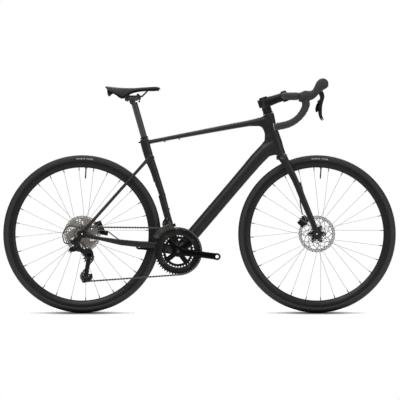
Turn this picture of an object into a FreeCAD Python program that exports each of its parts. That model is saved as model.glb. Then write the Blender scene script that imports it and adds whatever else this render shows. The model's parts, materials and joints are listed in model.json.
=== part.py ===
import FreeCAD, Part
import math
import os

import Sketcher

# Road bicycle, millimetres. X forward, Y to the rider's left, Z up.
# The origin is on the ground, midway between the two axles.

V = FreeCAD.Vector
doc = FreeCAD.newDocument("road_bicycle")
sheet = doc.addObject("Spreadsheet::Sheet", "dims")

DIMS = [
    # wheels and where they stand
    ("axle_z", 341.0, "axle height, radius of a 700x30 tyre"),
    ("front_x", 508.0, "front axle"),
    ("rear_x", -508.0, "rear axle, wheelbase 1016"),
    ("tyre_half", 15.0, "half the tyre's section"),
    ("tyre_wall", 2.6, "casing and tread thickness"),
    ("bead_r", 311.3, "bead seat, 622 mm"),
    ("rim_out_r", 317.0, "rim flange top"),
    ("rim_in_r", 287.5, "rim inner edge"),
    ("rim_half", 12.6, "half the rim's width"),
    ("spoke_count", 28.0, "spokes in each wheel"),
    ("spoke_r", 1.0, "spoke radius"),
    ("spoke_phase", -2.93, "first spoke hole from the top, degrees"),
    ("valve_phase", 3.5, "valve hole from the top, degrees"),
    ("flange_r", 24.5, "hub flange radius"),
    ("front_old_half", 50.0, "half the 100 mm front dropout spacing"),
    ("rear_old_half", 71.0, "half the 142 mm rear dropout spacing"),
    ("axle_r", 6.0, "12 mm thru-axle"),
    ("axle_bore_r", 3.5, "hole through each thru-axle"),
    ("axle_fit", 0.05, "running clearance round a shaft"),
    ("rotor_r", 80.0, "160 mm rotor"),
    ("rotor_t", 1.8, "rotor thickness"),
    ("front_rotor_y", 37.0, "front rotor plane"),
    ("rear_rotor_y", 56.0, "rear rotor plane"),
    # bottom bracket, cranks, rings
    ("bb_x", -92.5, "bottom bracket"),
    ("bb_z", 266.0, "bottom bracket, 75 mm drop"),
    ("bb_half", 43.0, "half the 86 mm shell"),
    ("bb_r", 25.5, "shell outside radius"),
    ("cup_r", 20.5, "bearing cup radius"),
    ("spindle_r", 12.0, "24 mm spindle"),
    ("crank_length", 170.0, "crank arm"),
    ("crank_drop", 7.6, "right arm below level, degrees"),
    ("pedal_thread_r", 7.14, "9/16 in pedal thread"),
    ("ring_out_teeth", 50.0, "outer chainring"),
    ("ring_in_teeth", 34.0, "inner chainring"),
    ("ring_out_y", -49.0, "outer ring plane"),
    ("ring_in_y", -41.6, "inner ring plane"),
    ("ring_t", 1.7, "tooth thickness"),
    ("pitch", 12.7, "chain pitch"),
    # cassette and derailleurs
    ("cog_first_y", -66.4, "smallest sprocket plane"),
    ("cog_pitch", 3.55, "12-speed sprocket spacing"),
    ("cog_t", 1.5, "sprocket thickness"),
    ("pulley_teeth", 11.0, "jockey wheels"),
    ("guide_x", -480.0, "guide pulley"),
    ("guide_z", 239.4, "guide pulley"),
    ("cage_x", -475.7, "cage axis"),
    ("cage_z", 250.2, "cage axis"),
    ("cage_length", 93.0, "cage axis to tension pulley"),
    ("hanger_x", -547.0, "derailleur bolt"),
    ("hanger_z", 306.4, "derailleur bolt"),
    # steering
    ("head_angle", 72.5, "head angle, degrees"),
    ("fork_offset", 45.0, "fork offset"),
    ("stem_u", 596.0, "stem centre, along the axis"),
    ("steerer_top_u", 612.0, "top of the steerer, along the axis"),
    ("steerer_r", 14.25, "steerer radius"),
    ("stem_length", 90.0, "stem"),
    ("stem_clamp_r", 15.9, "31.8 mm bar clamp"),
    ("bar_half", 205.0, "half the bar, centre to centre"),
    ("bar_r", 11.9, "bar radius outside the clamp"),
    ("tape_r", 15.2, "bar radius over the tape"),
    # seat
    ("seat_angle", 74.0, "seat tube angle, degrees"),
    ("seat_x", -238.7, "seat axis at the clamp"),
    ("seat_z", 756.2, "seat axis at the clamp"),
    ("post_r", 13.6, "27.2 mm seatpost"),
    ("post_in", 195.0, "seatpost inside the frame"),
    ("post_out", 150.0, "seatpost above the clamp"),
    ("rail_r", 3.5, "7 mm saddle rails"),
    ("rail_z", 933.8, "rail height in the clamp"),
    ("gap", 0.3, "gap between parts that only touch"),
]
for row, (alias, value, note) in enumerate(DIMS, start=1):
    sheet.set(f"A{row}", note)
    sheet.set(f"B{row}", str(value))
    sheet.setAlias(f"B{row}", alias)
doc.recompute()


class Size:
    """A size as an expression on the sheet, with its present value beside it."""

    def __init__(self, text, value):
        self.text = text
        self.value = float(value)

    def _join(self, other, sign, value, turned=False):
        other = other if isinstance(other, Size) else Size(f"{other:.6g}", other)
        left, right = (other, self) if turned else (self, other)
        return Size(f"({left.text} {sign} {right.text})", value(left.value, right.value))

    def __add__(self, other):
        return self._join(other, "+", lambda a, b: a + b)

    def __radd__(self, other):
        return self._join(other, "+", lambda a, b: a + b, True)

    def __sub__(self, other):
        return self._join(other, "-", lambda a, b: a - b)

    def __rsub__(self, other):
        return self._join(other, "-", lambda a, b: a - b, True)

    def __mul__(self, other):
        return self._join(other, "*", lambda a, b: a * b)

    def __rmul__(self, other):
        return self._join(other, "*", lambda a, b: a * b, True)

    def __truediv__(self, other):
        return self._join(other, "/", lambda a, b: a / b)

    def __neg__(self):
        return Size(f"(0 - {self.text})", -self.value)


def size(alias):
    """The sheet's size of this name, for expressions."""
    return Size(f"dims.{alias}", sheet.get(alias))


def val(alias):
    """The sheet's number of this name."""
    return float(sheet.get(alias))


def as_size(x):
    return x if isinstance(x, Size) else Size(f"{x:.6g}", x)


# ---------------------------------------------------------------- helpers: placing

def frame_of(axis, across=None):
    """The rotation that takes Z to axis and X to across, as nearly as it can."""
    z = V(axis).normalize()
    x = V(across) if across is not None else V(1, 0, 0)
    x = x - z * x.dot(z)
    if x.Length < 1e-6:
        x = V(0, 0, 1) - z * z.z
    x.normalize()
    y = z.cross(x)
    return FreeCAD.Rotation(x, y, z, "ZXY")


def place(obj, where, axis=(0, 0, 1), across=None):
    """Puts obj at where, three sizes, with its own Z along axis."""
    base = [as_size(c) for c in where]
    obj.Placement = FreeCAD.Placement(
        V(*[c.value for c in base]), frame_of(V(*axis), None if across is None else V(*across))
    )
    for name, c in zip("xyz", base):
        obj.setExpression(f"Placement.Base.{name}", c.text)
    return obj


# ---------------------------------------------------------------- helpers: bodies

def origin_plane(body, role):
    return [f for f in body.Origin.OriginFeatures if f.Role == role][0]


def sketch(body, name, role, outline, offset=None):
    """A closed outline on one of the body's own planes.

    Each corner is (x, y) or (x, y, radius): a radius makes the edge to the next corner an arc, bulging to
    the right of the way the outline runs, or to the left where it is negative."""
    sk = body.newObject("Sketcher::SketchObject", name)
    sk.AttachmentSupport = [(origin_plane(body, role), "")]
    sk.MapMode = "FlatFace"
    if offset is not None:
        sk.AttachmentOffset = FreeCAD.Placement(V(0, 0, as_size(offset).value), FreeCAD.Rotation())
        sk.setExpression("AttachmentOffset.Base.z", as_size(offset).text)
    corners = [(as_size(c[0]), as_size(c[1])) for c in outline]
    count = len(corners)
    edges = []
    for i, corner in enumerate(outline):
        a = V(corners[i][0].value, corners[i][1].value, 0)
        b = V(corners[(i + 1) % count][0].value, corners[(i + 1) % count][1].value, 0)
        if len(corner) < 3:
            edges.append(sk.addGeometry(Part.LineSegment(a, b)))
            continue
        r = as_size(corner[2]).value
        chord = b - a
        side = V(chord.y, -chord.x, 0).normalize()
        rise = abs(r) - math.sqrt(max(r * r - chord.Length ** 2 / 4, 0))
        middle = (a + b) / 2 + side * math.copysign(rise, r)
        edges.append(sk.addGeometry(Part.Arc(a, middle, b)))
    for i, corner in enumerate(outline):
        after = (i + 1) % count
        ccw_now = len(corner) < 3 or as_size(corner[2]).value > 0
        ccw_next = len(outline[after]) < 3 or as_size(outline[after][2]).value > 0
        end = 2 if ccw_now else 1
        start = 1 if ccw_next else 2
        sk.addConstraint(Sketcher.Constraint("Coincident", edges[i], end, edges[after], start))
    for i, corner in enumerate(outline):
        ccw = len(corner) < 3 or as_size(corner[2]).value > 0
        start = 1 if ccw else 2
        for kind, c in zip(("DistanceX", "DistanceY"), corners[i]):
            index = sk.addConstraint(Sketcher.Constraint(kind, -1, 1, edges[i], start, c.value))
            sk.setExpression(f"Constraints[{index}]", c.text)
        if len(corner) > 2:
            r = as_size(corner[2])
            index = sk.addConstraint(Sketcher.Constraint("Radius", edges[i], abs(r.value)))
            sk.setExpression(f"Constraints[{index}]", r.text if r.value > 0 else (-r).text)
    return sk


def circle_sketch(body, name, role, x, y, r, offset=None):
    """One circle on one of the body's own planes."""
    sk = body.newObject("Sketcher::SketchObject", name)
    sk.AttachmentSupport = [(origin_plane(body, role), "")]
    sk.MapMode = "FlatFace"
    if offset is not None:
        sk.AttachmentOffset = FreeCAD.Placement(V(0, 0, as_size(offset).value), FreeCAD.Rotation())
        sk.setExpression("AttachmentOffset.Base.z", as_size(offset).text)
    x, y, r = as_size(x), as_size(y), as_size(r)
    c = sk.addGeometry(Part.Circle(V(x.value, y.value, 0), V(0, 0, 1), r.value))
    for kind, s in (("DistanceX", x), ("DistanceY", y)):
        index = sk.addConstraint(Sketcher.Constraint(kind, -1, 1, c, 3, s.value))
        sk.setExpression(f"Constraints[{index}]", s.text)
    index = sk.addConstraint(Sketcher.Constraint("Radius", c, r.value))
    sk.setExpression(f"Constraints[{index}]", r.text)
    return sk


def turned(label, outline):
    """A body turned about its own Z. The outline is (radius, height) corners."""
    body = doc.addObject("PartDesign::Body", label)
    body.Label = label
    profile = sketch(body, f"{label}_profile", "XZ_Plane", outline)
    turn = body.newObject("PartDesign::Revolution", f"{label}_turn")
    turn.Profile = profile
    turn.ReferenceAxis = (profile, ["V_Axis"])
    turn.Angle = 360
    body.Tip = turn
    doc.recompute()
    return body


def pocket(body, name, profile, count=1):
    """Cuts profile through the whole body, count times round its own Z."""
    before = body.Shape.Volume
    cut = body.newObject("PartDesign::Pocket", name)
    cut.Profile = profile
    cut.Type = "ThroughAll"
    cut.Midplane = True
    body.Tip = cut
    doc.recompute()
    if not body.Shape.Volume < before - 1e-6:
        raise RuntimeError(f"{name} cut nothing")
    if count > 1:
        ring = body.newObject("PartDesign::PolarPattern", f"{name}_ring")
        ring.Originals = [cut]
        ring.Axis = (origin_axis(body, "Z_Axis"), [""])
        ring.Angle = 360
        ring.Occurrences = int(count)
        body.Tip = ring
        doc.recompute()
    return body


def origin_axis(body, role):
    return [f for f in body.Origin.OriginFeatures if f.Role == role][0]


def feature(label, shape):
    """A sub-part whose shape is made by Part functions from the sheet's sizes."""
    obj = doc.addObject("Part::Feature", label)
    obj.Label = label
    obj.Shape = shape
    return obj


def cut(label, base, tools):
    """base less each of tools."""
    tool = tools[0] if len(tools) == 1 else fuse(f"{label}_tools", tools)
    obj = doc.addObject("Part::Cut", label)
    obj.Label = label
    obj.Base = base
    obj.Tool = tool
    doc.recompute()
    return obj


def fuse(label, objects):
    obj = doc.addObject("Part::MultiFuse", label)
    obj.Label = label
    obj.Shapes = objects
    obj.Refine = False
    doc.recompute()
    return obj


# ---------------------------------------------------------------- helpers: shapes

def superoval(centre, across, up, half_across, half_up, power=2.6, steps=24):
    """A closed spline wire, squarer than an ellipse, always started at the same corner."""
    across = V(across).normalize()
    up = V(up).normalize()
    points = []
    for i in range(steps):
        t = 2 * math.pi * i / steps
        c, s = math.cos(t), math.sin(t)
        x = math.copysign(abs(c) ** (2 / power), c) * half_across
        y = math.copysign(abs(s) ** (2 / power), s) * half_up
        points.append(centre + across * x + up * y)
    spline = Part.BSplineCurve()
    spline.interpolate(Points=points, PeriodicFlag=True)
    return Part.Wire([spline.toShape()])


def loft(wires, ruled=False):
    return Part.makeLoft(wires, True, ruled)


def rounded_path(points, radii):
    """Straight runs joined by tangent arcs; radii are one for each inner corner."""
    edges = []
    here = points[0]
    for i in range(1, len(points) - 1):
        corner = points[i]
        back = (points[i - 1] - corner).normalize()
        ahead = (points[i + 1] - corner).normalize()
        turn = math.acos(max(-1.0, min(1.0, back.dot(ahead))))
        r = radii[i - 1]
        reach = r / math.tan(turn / 2)
        a = corner + back * reach
        b = corner + ahead * reach
        middle_way = (back + ahead).normalize()
        m = corner + middle_way * (r / math.sin(turn / 2) - r)
        if (a - here).Length > 1e-4:
            edges.append(Part.LineSegment(here, a).toShape())
        edges.append(Part.Arc(a, m, b).toShape())
        here = b
    if (points[-1] - here).Length > 1e-4:
        edges.append(Part.LineSegment(here, points[-1]).toShape())
    return Part.Wire(edges)


def swept(path, r):
    """A round rod of radius r along a path."""
    first = path.OrderedEdges[0]
    start = first.firstVertex(True).Point
    way = first.tangentAt(first.FirstParameter)
    if (first.valueAt(first.FirstParameter) - start).Length > 1e-6:
        way = -first.tangentAt(first.LastParameter)
    ring = Part.Wire([Part.Circle(start, way, r).toShape()])
    shape = path.makePipeShell([ring], True, False)
    return shape.Solids[0] if shape.Solids else Part.makeSolid(shape)


def rod(a, b, r):
    """A cylinder between two points."""
    return Part.makeCylinder(r, (b - a).Length, a, b - a)


def block(centre, axes, halves):
    """A box with its own axes, centre and half sizes."""
    x, y, z = [V(a).normalize() for a in axes]
    shape = Part.makeBox(2 * halves[0], 2 * halves[1], 2 * halves[2], V(-halves[0], -halves[1], -halves[2]))
    shape.Placement = FreeCAD.Placement(centre, FreeCAD.Rotation(x, y, z, "ZXY"))
    return shape


def plate(points, y, half):
    """A flat plate of side-view corners (x, z), square to Y."""
    corners = [V(p[0], y - half, p[1]) for p in points]
    face = Part.Face(Part.makePolygon(corners + corners[:1]))
    return face.extrude(V(0, 2 * half, 0))


def slab(path, y, half, r):
    """A plate of even width 2 r that follows a line of side-view points, with round ends."""
    parts = []
    for a, b in zip(path, path[1:]):
        a3, b3 = V(a[0], y - half, a[1]), V(b[0], y - half, b[1])
        along = (b3 - a3).normalize()
        side = V(-along.z, 0, along.x) * r
        face = Part.Face(Part.makePolygon([a3 - side, b3 - side, b3 + side, a3 + side, a3 - side]))
        parts.append(face.extrude(V(0, 2 * half, 0)))
    for p in path:
        parts.append(Part.makeCylinder(r, 2 * half, V(p[0], y - half, p[1]), V(0, 1, 0)))
    return parts[0].multiFuse(parts[1:]).removeSplitter()


def one_solid(shape):
    if len(shape.Solids) != 1:
        raise RuntimeError(f"{len(shape.Solids)} solids where one was meant")
    return shape.Solids[0]


# ---------------------------------------------------------------- lines of the bike

Y = V(0, 1, 0)
lean = math.radians(90 - val("head_angle"))
steer_up = V(-math.sin(lean), 0, math.cos(lean))
steer_ahead = V(math.cos(lean), 0, math.sin(lean))
steer_foot = V(val("front_x") - val("fork_offset") / math.cos(lean), 0, val("axle_z"))
seat_lean = math.radians(90 - val("seat_angle"))
seat_up = V(-math.sin(seat_lean), 0, math.cos(seat_lean))
seat_ahead = V(math.cos(seat_lean), 0, math.sin(seat_lean))
seat_clamp_at = V(val("seat_x"), 0, val("seat_z"))
front_axle = V(val("front_x"), 0, val("axle_z"))
rear_axle = V(val("rear_x"), 0, val("axle_z"))
bb = V(val("bb_x"), 0, val("bb_z"))
crank_fall = math.radians(val("crank_drop"))
crank_way = V(math.cos(crank_fall), 0, -math.sin(crank_fall))


def on_steer(u, v=0.0, y=0.0):
    """A point u up the steering axis from axle height, v ahead of it and y to the left."""
    return steer_foot + steer_up * u + steer_ahead * v + Y * y


def on_seat(u, v=0.0, y=0.0):
    """A point u above the seat clamp along the seat axis, v ahead of it and y to the left."""
    return seat_clamp_at + seat_up * u + seat_ahead * v + Y * y


def side_copy(shape):
    """shape with its mirror image across the middle plane."""
    return [shape, shape.mirror(V(0, 0, 0), Y)]


# ---------------------------------------------------------------- wheels

def tyre(label, x):
    wall = size("tyre_wall")
    half = size("tyre_half")
    tread = size("axle_z")
    bead = size("bead_r")
    bead_y = size("rim_half") - 2.2
    belt = tread - half
    inner = half - wall
    outline = [
        (bead, -bead_y),
        (bead + 6.2, -bead_y),
        (bead + 6.2, -bead_y - 1.0),
        (belt, -half, half),
        (tread, 0, half),
        (belt, half),
        (bead + 6.2, bead_y + 1.0),
        (bead + 6.2, bead_y),
        (bead, bead_y),
        (bead, bead_y - wall),
        (belt, inner, -inner),
        (tread - wall, 0, -inner),
        (belt, -inner),
        (bead, wall - bead_y),
    ]
    return place(turned(label, outline), (size(x), 0, size("axle_z")), (0, 1, 0))


def rim(label, x):
    out_r, in_r, half = size("rim_out_r"), size("rim_in_r"), size("rim_half")
    bead = size("bead_r") - 0.3
    outline = [
        (in_r, -4),
        (in_r + 6, -9),
        (out_r - 8, -half),
        (out_r, -half),
        (out_r, 1.9 - half),
        (bead, 1.9 - half),
        (bead, -6),
        (bead - 3.5, -4),
        (bead - 3.5, 4),
        (bead, 6),
        (bead, half - 1.9),
        (out_r, half - 1.9),
        (out_r, half),
        (out_r - 8, half),
        (in_r + 6, 9),
        (in_r, 4),
    ]
    body = turned(label, outline)
    hole = circle_sketch(body, f"{label}_valve_hole", "YZ_Plane", 0, 0, 3.4)
    drill = body.newObject("PartDesign::Pocket", f"{label}_valve_bore")
    drill.Profile = hole
    drill.Length = 400
    drill.Reversed = True
    body.Tip = drill
    doc.recompute()
    turn = math.radians(val("valve_phase"))
    return place(body, (size(x), 0, size("axle_z")), (0, 1, 0), (math.sin(turn), 0, math.cos(turn)))


def spokes(label, axle, left, right):
    """Two-cross lacing: heads in and out of each flange by turns."""
    count = int(val("spoke_count"))
    r = val("spoke_r")
    hole_r = val("flange_r") - 2.8
    end_r = val("rim_in_r") - 0.3
    step = 360.0 / count
    solids = []
    for k in range(count):
        pair = k // 2
        flange = left if k % 2 == 0 else right
        side = 1 if k % 2 == 0 else -1
        lead = 1 if pair % 2 == 0 else -1
        rim_turn = math.radians(val("spoke_phase") + k * step)
        hub_turn = rim_turn + lead * math.radians(4 * step)
        start = axle + V(math.sin(hub_turn), 0, math.cos(hub_turn)) * hole_r
        start = start + Y * (flange + side * lead * 2.9)
        end = axle + V(math.sin(rim_turn), 0, math.cos(rim_turn)) * end_r + Y * side * 2.0
        way = (end - start).normalize()
        nipple = end - way * 13
        solids.append(rod(start, nipple, r).fuse(rod(nipple, end, 2.0)).removeSplitter())
    return feature(label, Part.makeCompound(solids))


def disc_rotor(label, x, y):
    """Spider and braking track in one disc, windows between its six arms."""
    r = size("rotor_r")
    t = size("rotor_t")
    body = turned(label, [(20.5, -t / 2), (r, -t / 2), (r, t / 2), (20.5, t / 2)])
    window = [(27, -5), (60, -17), (63, 0), (60, 14), (27, 5)]
    pocket(body, f"{label}_window", sketch(body, f"{label}_window_line", "XY_Plane", window), 6)
    hole = circle_sketch(body, f"{label}_hole", "XY_Plane", r - 9, 3, 2.4)
    pocket(body, f"{label}_vents", hole, 24)
    slot = circle_sketch(body, f"{label}_hole_out", "XY_Plane", r - 4.3, -6, 1.7)
    pocket(body, f"{label}_vents_out", slot, 24)
    return place(body, (size(x), size(y), size("axle_z")), (0, 1, 0))


def valve(label, x):
    """Presta valve: stem, lock ring and cap, pointing at the axle."""
    turn = math.radians(val("valve_phase"))
    way = V(math.sin(turn), 0, math.cos(turn))
    inner = val("rim_in_r")
    body = turned(
        label,
        [
            (0, inner - 48), (1.2, inner - 48), (2.9, inner - 45), (3.2, inner - 33), (2.95, inner - 32.5),
            (2.95, inner - 4), (5.2, inner - 3.7), (5.2, inner - 0.3), (3.1, inner - 0.3), (3.1, inner + 20),
            (0, inner + 20),
        ],
    )
    return place(body, (size(x), 0, size("axle_z")), (way.x, way.y, way.z), (0, 1, 0))


fit = size("axle_fit")
gap = size("gap")
shaft = size("axle_r") + fit

tyre("front_tyre", "front_x")
tyre("rear_tyre", "rear_x")
rim("front_rim", "front_x")
rim("rear_rim", "rear_x")
FRONT_FLANGES = (24.0, -35.0)
REAR_FLANGES = (35.0, -19.5)
spokes("front_spokes", front_axle, *FRONT_FLANGES)
spokes("rear_spokes", rear_axle, *REAR_FLANGES)
disc_rotor("front_rotor", "front_x", "front_rotor_y")
disc_rotor("rear_rotor", "rear_x", "rear_rotor_y")
valve("front_valve", "front_x")
valve("rear_valve", "rear_x")


def hub(label, x, flanges, ends, rotor_y):
    """A hub shell with two flanges and the spline that carries the rotor."""
    left, right = flanges
    rim_r = size("flange_r")
    rotor_at = size(rotor_y)
    left_end, right_end = ends
    outline = [
        (shaft, right_end), (10, right_end), (10, right - 3.6), (17, right - 1.2), (rim_r, right - 1.2),
        (rim_r, right + 1.2), (16, right + 1.2), (12.5, right + 9), (12.5, left - 9), (17, left - 1.2),
        (rim_r, left - 1.2), (rim_r, left + 1.2), (17, left + 1.2), (17, rotor_at - 1.3),
        (22, rotor_at - 1.3), (20.2, rotor_at - 0.95), (20.2, rotor_at + 2), (17.5, rotor_at + 4),
        (10, rotor_at + 4), (10, left_end), (shaft, left_end),
    ]
    return place(turned(label, outline), (size(x), 0, size("axle_z")), (0, 1, 0))


front_end = size("front_old_half") - gap
hub("front_hub", "front_x", FRONT_FLANGES, (front_end, -front_end), "front_rotor_y")
hub(
    "rear_hub", "rear_x", REAR_FLANGES, (size("rear_old_half") - gap, as_size(-24.2)), "rear_rotor_y"
)


def thru_axle(label, x, left, right):
    """A hollow axle, its head outside the left dropout and its tip in the right one."""
    bore = size("axle_bore_r")
    r = size("axle_r")
    outline = [(bore, right), (r, right), (r, left - 3), (8.6, left - 3), (8.6, left), (bore, left)]
    return place(turned(label, outline), (size(x), 0, size("axle_z")), (0, 1, 0))


thru_axle("front_thru_axle", "front_x", 62.5, -59.5)
thru_axle("rear_thru_axle", "rear_x", 82.8, -79.5)


# ---------------------------------------------------------------- toothed parts and chain

def toothed(teeth, thickness, bore_r, phase, ease=0.0):
    """A toothed disc square to Y: seats for the rollers, flanks that open outward, narrow tips.

    phase is the angle of one roller seat, measured from +X towards +Z."""
    pitch = val("pitch")
    seat_r = pitch / (2 * math.sin(math.pi / teeth))
    half_step = math.pi / teeth
    tip_half = 0.75 - ease
    gap_line = [(seat_r - 4.45, 0.0), (seat_r - 4.0, 2.0), (seat_r - 2.4, 3.75), (seat_r + 0.2, 4.4),
                (seat_r + 2.6, 5.1)]
    gap_line = [(r - ease, s + (ease if s else 0)) for r, s in gap_line]
    corners = []
    for k in range(teeth):
        turn = phase + 2 * half_step * k
        out = V(math.cos(turn), 0, math.sin(turn))
        along = V(-math.sin(turn), 0, math.cos(turn))
        for r, s in reversed(gap_line[1:]):
            corners.append(out * r - along * s)
        for r, s in gap_line:
            corners.append(out * r + along * s)
        tip_turn = turn + half_step
        tip = V(math.cos(tip_turn), 0, math.sin(tip_turn)) * (seat_r + 3.6)
        tip_along = V(-math.sin(tip_turn), 0, math.cos(tip_turn))
        corners.append(tip - tip_along * tip_half)
        corners.append(tip + tip_along * tip_half)
    base = V(0, -thickness / 2, 0)
    corners = [c + base for c in corners]
    disc = Part.Face(Part.makePolygon(corners + corners[:1])).extrude(V(0, thickness, 0))
    if bore_r:
        disc = disc.cut(Part.makeCylinder(bore_r, thickness + 2, base - Y, Y))
    return disc


def pitch_r(teeth):
    return val("pitch") / (2 * math.sin(math.pi / teeth))


def arc_r(teeth):
    """The radius whose arc length, not its chord, is one pitch to each tooth."""
    return val("pitch") * teeth / (2 * math.pi)


DRIVE_COG = 5
COGS = [11, 12, 13, 14, 15, 17, 19, 21, 24, 28, 32, 36]
drive_teeth = COGS[DRIVE_COG - 1]
drive_y = val("cog_first_y") + val("cog_pitch") * (DRIVE_COG - 1)
ring_y = val("ring_out_y")
guide = V(val("guide_x"), 0, val("guide_z"))
cage_axis = V(val("cage_x"), 0, val("cage_z"))


def tangent(c1, r1, c2, r2, side, crossed=False):
    """The two touching points of a line on two circles, in side view.

    side is +1 or -1 for which side of the first circle; crossed makes the line change sides."""
    dx, dz = c2[0] - c1[0], c2[1] - c1[1]
    d = math.hypot(dx, dz)
    far = -r2 if crossed else r2
    ratio = (r1 - far) / d
    base = math.atan2(dz, dx)
    turn = base + side * math.acos(ratio)
    n = (math.cos(turn), math.sin(turn))
    return (c1[0] + r1 * n[0], c1[1] + r1 * n[1]), (c2[0] + far * n[0], c2[1] + far * n[1])


def chain_runs(cage_turn):
    """The chain's closed line in side view: arcs and straight runs, for this cage angle."""
    ring_c, ring_r = (bb.x, bb.z), arc_r(int(val("ring_out_teeth")))
    cog_c, cog_r = (rear_axle.x, rear_axle.z), arc_r(drive_teeth)
    pul_r = arc_r(int(val("pulley_teeth")))
    guide_c = (guide.x, guide.z)
    length = val("cage_length")
    tension_c = (cage_axis.x + length * math.sin(cage_turn), cage_axis.z - length * math.cos(cage_turn))
    wheels = [
        (ring_c, ring_r, 1), (cog_c, cog_r, 1), (guide_c, pul_r, -1), (tension_c, pul_r, 1),
    ]
    runs = []
    touches = []
    for i, (c1, r1, s1) in enumerate(wheels):
        c2, r2, s2 = wheels[(i + 1) % 4]
        a, b = tangent(c1, r1, c2, r2, -s1, crossed=s1 != s2)
        touches.append((a, b))
    for i, (c, r, s) in enumerate(wheels):
        arrive = touches[i - 1][1]
        leave = touches[i][0]
        t0 = math.atan2(arrive[1] - c[1], arrive[0] - c[0])
        t1 = math.atan2(leave[1] - c[1], leave[0] - c[0])
        swing = (t1 - t0) * s % (2 * math.pi)
        runs.append(("arc", c, r, t0, swing * s))
        runs.append(("line", touches[i][0], touches[i][1]))
    return runs, tension_c


def run_length(run):
    if run[0] == "arc":
        return run[2] * abs(run[4])
    return math.hypot(run[2][0] - run[1][0], run[2][1] - run[1][1])


def run_point(run, s):
    if run[0] == "arc":
        t = run[3] + math.copysign(s / run[2], run[4])
        return run[1][0] + run[2] * math.cos(t), run[1][1] + run[2] * math.sin(t)
    k = s / run_length(run)
    return run[1][0] + (run[2][0] - run[1][0]) * k, run[1][1] + (run[2][1] - run[1][1]) * k


def closed_chain():
    """The cage angle near upright at which the chain has an even number of whole links."""
    pitch = val("pitch")
    best = None
    for tenth in range(-600, 900):
        turn = math.radians(tenth / 20)
        runs, tension_c = chain_runs(turn)
        total = sum(run_length(r) for r in runs)
        links = round(total / pitch / 2) * 2
        miss = abs(total - links * pitch)
        cost = miss * 40 + abs(tenth / 20 + 5.3)
        if best is None or cost < best[0]:
            best = (cost, turn, runs, tension_c, links, total)
    return best[1:]


cage_turn, chain_line, tension_side, chain_links, chain_total = closed_chain()
tension = V(tension_side[0], 0, tension_side[1])


def chain_pins():
    step = chain_total / chain_links
    pins = []
    run = 0
    into = 0.0
    for _ in range(chain_links):
        while into > run_length(chain_line[run]):
            into -= run_length(chain_line[run])
            run += 1
        x, z = run_point(chain_line[run], into)
        share = 0.0
        if run == 1:
            share = into / run_length(chain_line[1])
        elif run == 7:
            share = 1 - into / run_length(chain_line[7])
        elif run > 1:
            share = 1.0
        pins.append(V(x, ring_y + (drive_y - ring_y) * share, z))
        into += step
    return pins


PINS = chain_pins()


def seat_phase(centre, teeth):
    """The angle of the pin that lies nearest its full wrap on this wheel."""
    r = arc_r(teeth)
    near = [p for p in PINS if abs(math.hypot(p.x - centre.x, p.z - centre.z) - r) < 0.05]
    turns = [math.atan2(p.z - centre.z, p.x - centre.x) for p in near]
    step = 2 * math.pi / teeth
    first = turns[0]
    offsets = [((t - first + step / 2) % step) - step / 2 for t in turns]
    return first + sum(offsets) / len(offsets)


def link_shape(inner):
    """One link, its first pin at the origin and its second one pitch along X."""
    pitch = val("pitch")
    y = 1.45 if inner else 2.25
    thick = 0.7
    r = 4.1 if inner else 3.9
    parts = []
    for side in (-1, 1):
        at = side * y - thick / 2
        waist = Part.makeBox(pitch, thick, 5.6, V(0, at, -2.8))
        ends = [Part.makeCylinder(r, thick, V(x, at, 0), Y) for x in (0, pitch)]
        parts.append(waist.multiFuse(ends))
    for x in (0, pitch):
        if inner:
            roller = Part.makeCylinder(3.8, 2 * y, V(x, -y, 0), Y)
            parts.append(roller)
        else:
            parts.append(Part.makeCylinder(1.75, 2 * y + 0.8, V(x, -y - 0.4, 0), Y))
    shape = parts[0].multiFuse(parts[1:])
    if inner:
        for x in (0, pitch):
            shape = shape.cut(Part.makeCylinder(1.85, 8, V(x, -4, 0), Y))
    return one_solid(shape.removeSplitter())


def chain():
    kinds = (link_shape(True), link_shape(False))
    solids = []
    for i, pin in enumerate(PINS):
        after = PINS[(i + 1) % len(PINS)]
        way = (after - pin).normalize()
        up = way.cross(Y).normalize()
        solid = kinds[i % 2].copy()
        solid.Placement = FreeCAD.Placement(pin, FreeCAD.Rotation(way, Y, up, "XZY"))
        solids.append(solid)
    return feature("chain", Part.makeCompound(solids))


def at_wheel(shape, centre, y):
    shape.translate(V(centre.x, y, centre.z))
    return shape


chain()
ring_out_teeth = int(val("ring_out_teeth"))
ring_in_teeth = int(val("ring_in_teeth"))
ring_phase = seat_phase(bb, ring_out_teeth)


def ring(label, teeth, y, inner_r, phase, hole_r):
    """A chainring: toothed edge, open middle, four bolt holes."""
    shape = toothed(teeth, val("ring_t"), inner_r, phase)
    shape = at_wheel(shape, bb, y)
    for k in range(4):
        turn = math.radians(45 + 90 * k) - crank_fall
        at = bb + V(math.cos(turn), 0, math.sin(turn)) * hole_r
        shape = shape.cut(Part.makeCylinder(2.6, 8, V(at.x, y - 4, at.z), Y))
    return feature(label, one_solid(shape))


ring("chainring_outer", ring_out_teeth, ring_y, 69.5, ring_phase, 79.0)
ring("chainring_inner", ring_in_teeth, val("ring_in_y"), 54.0, ring_phase, 58.0)


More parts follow.
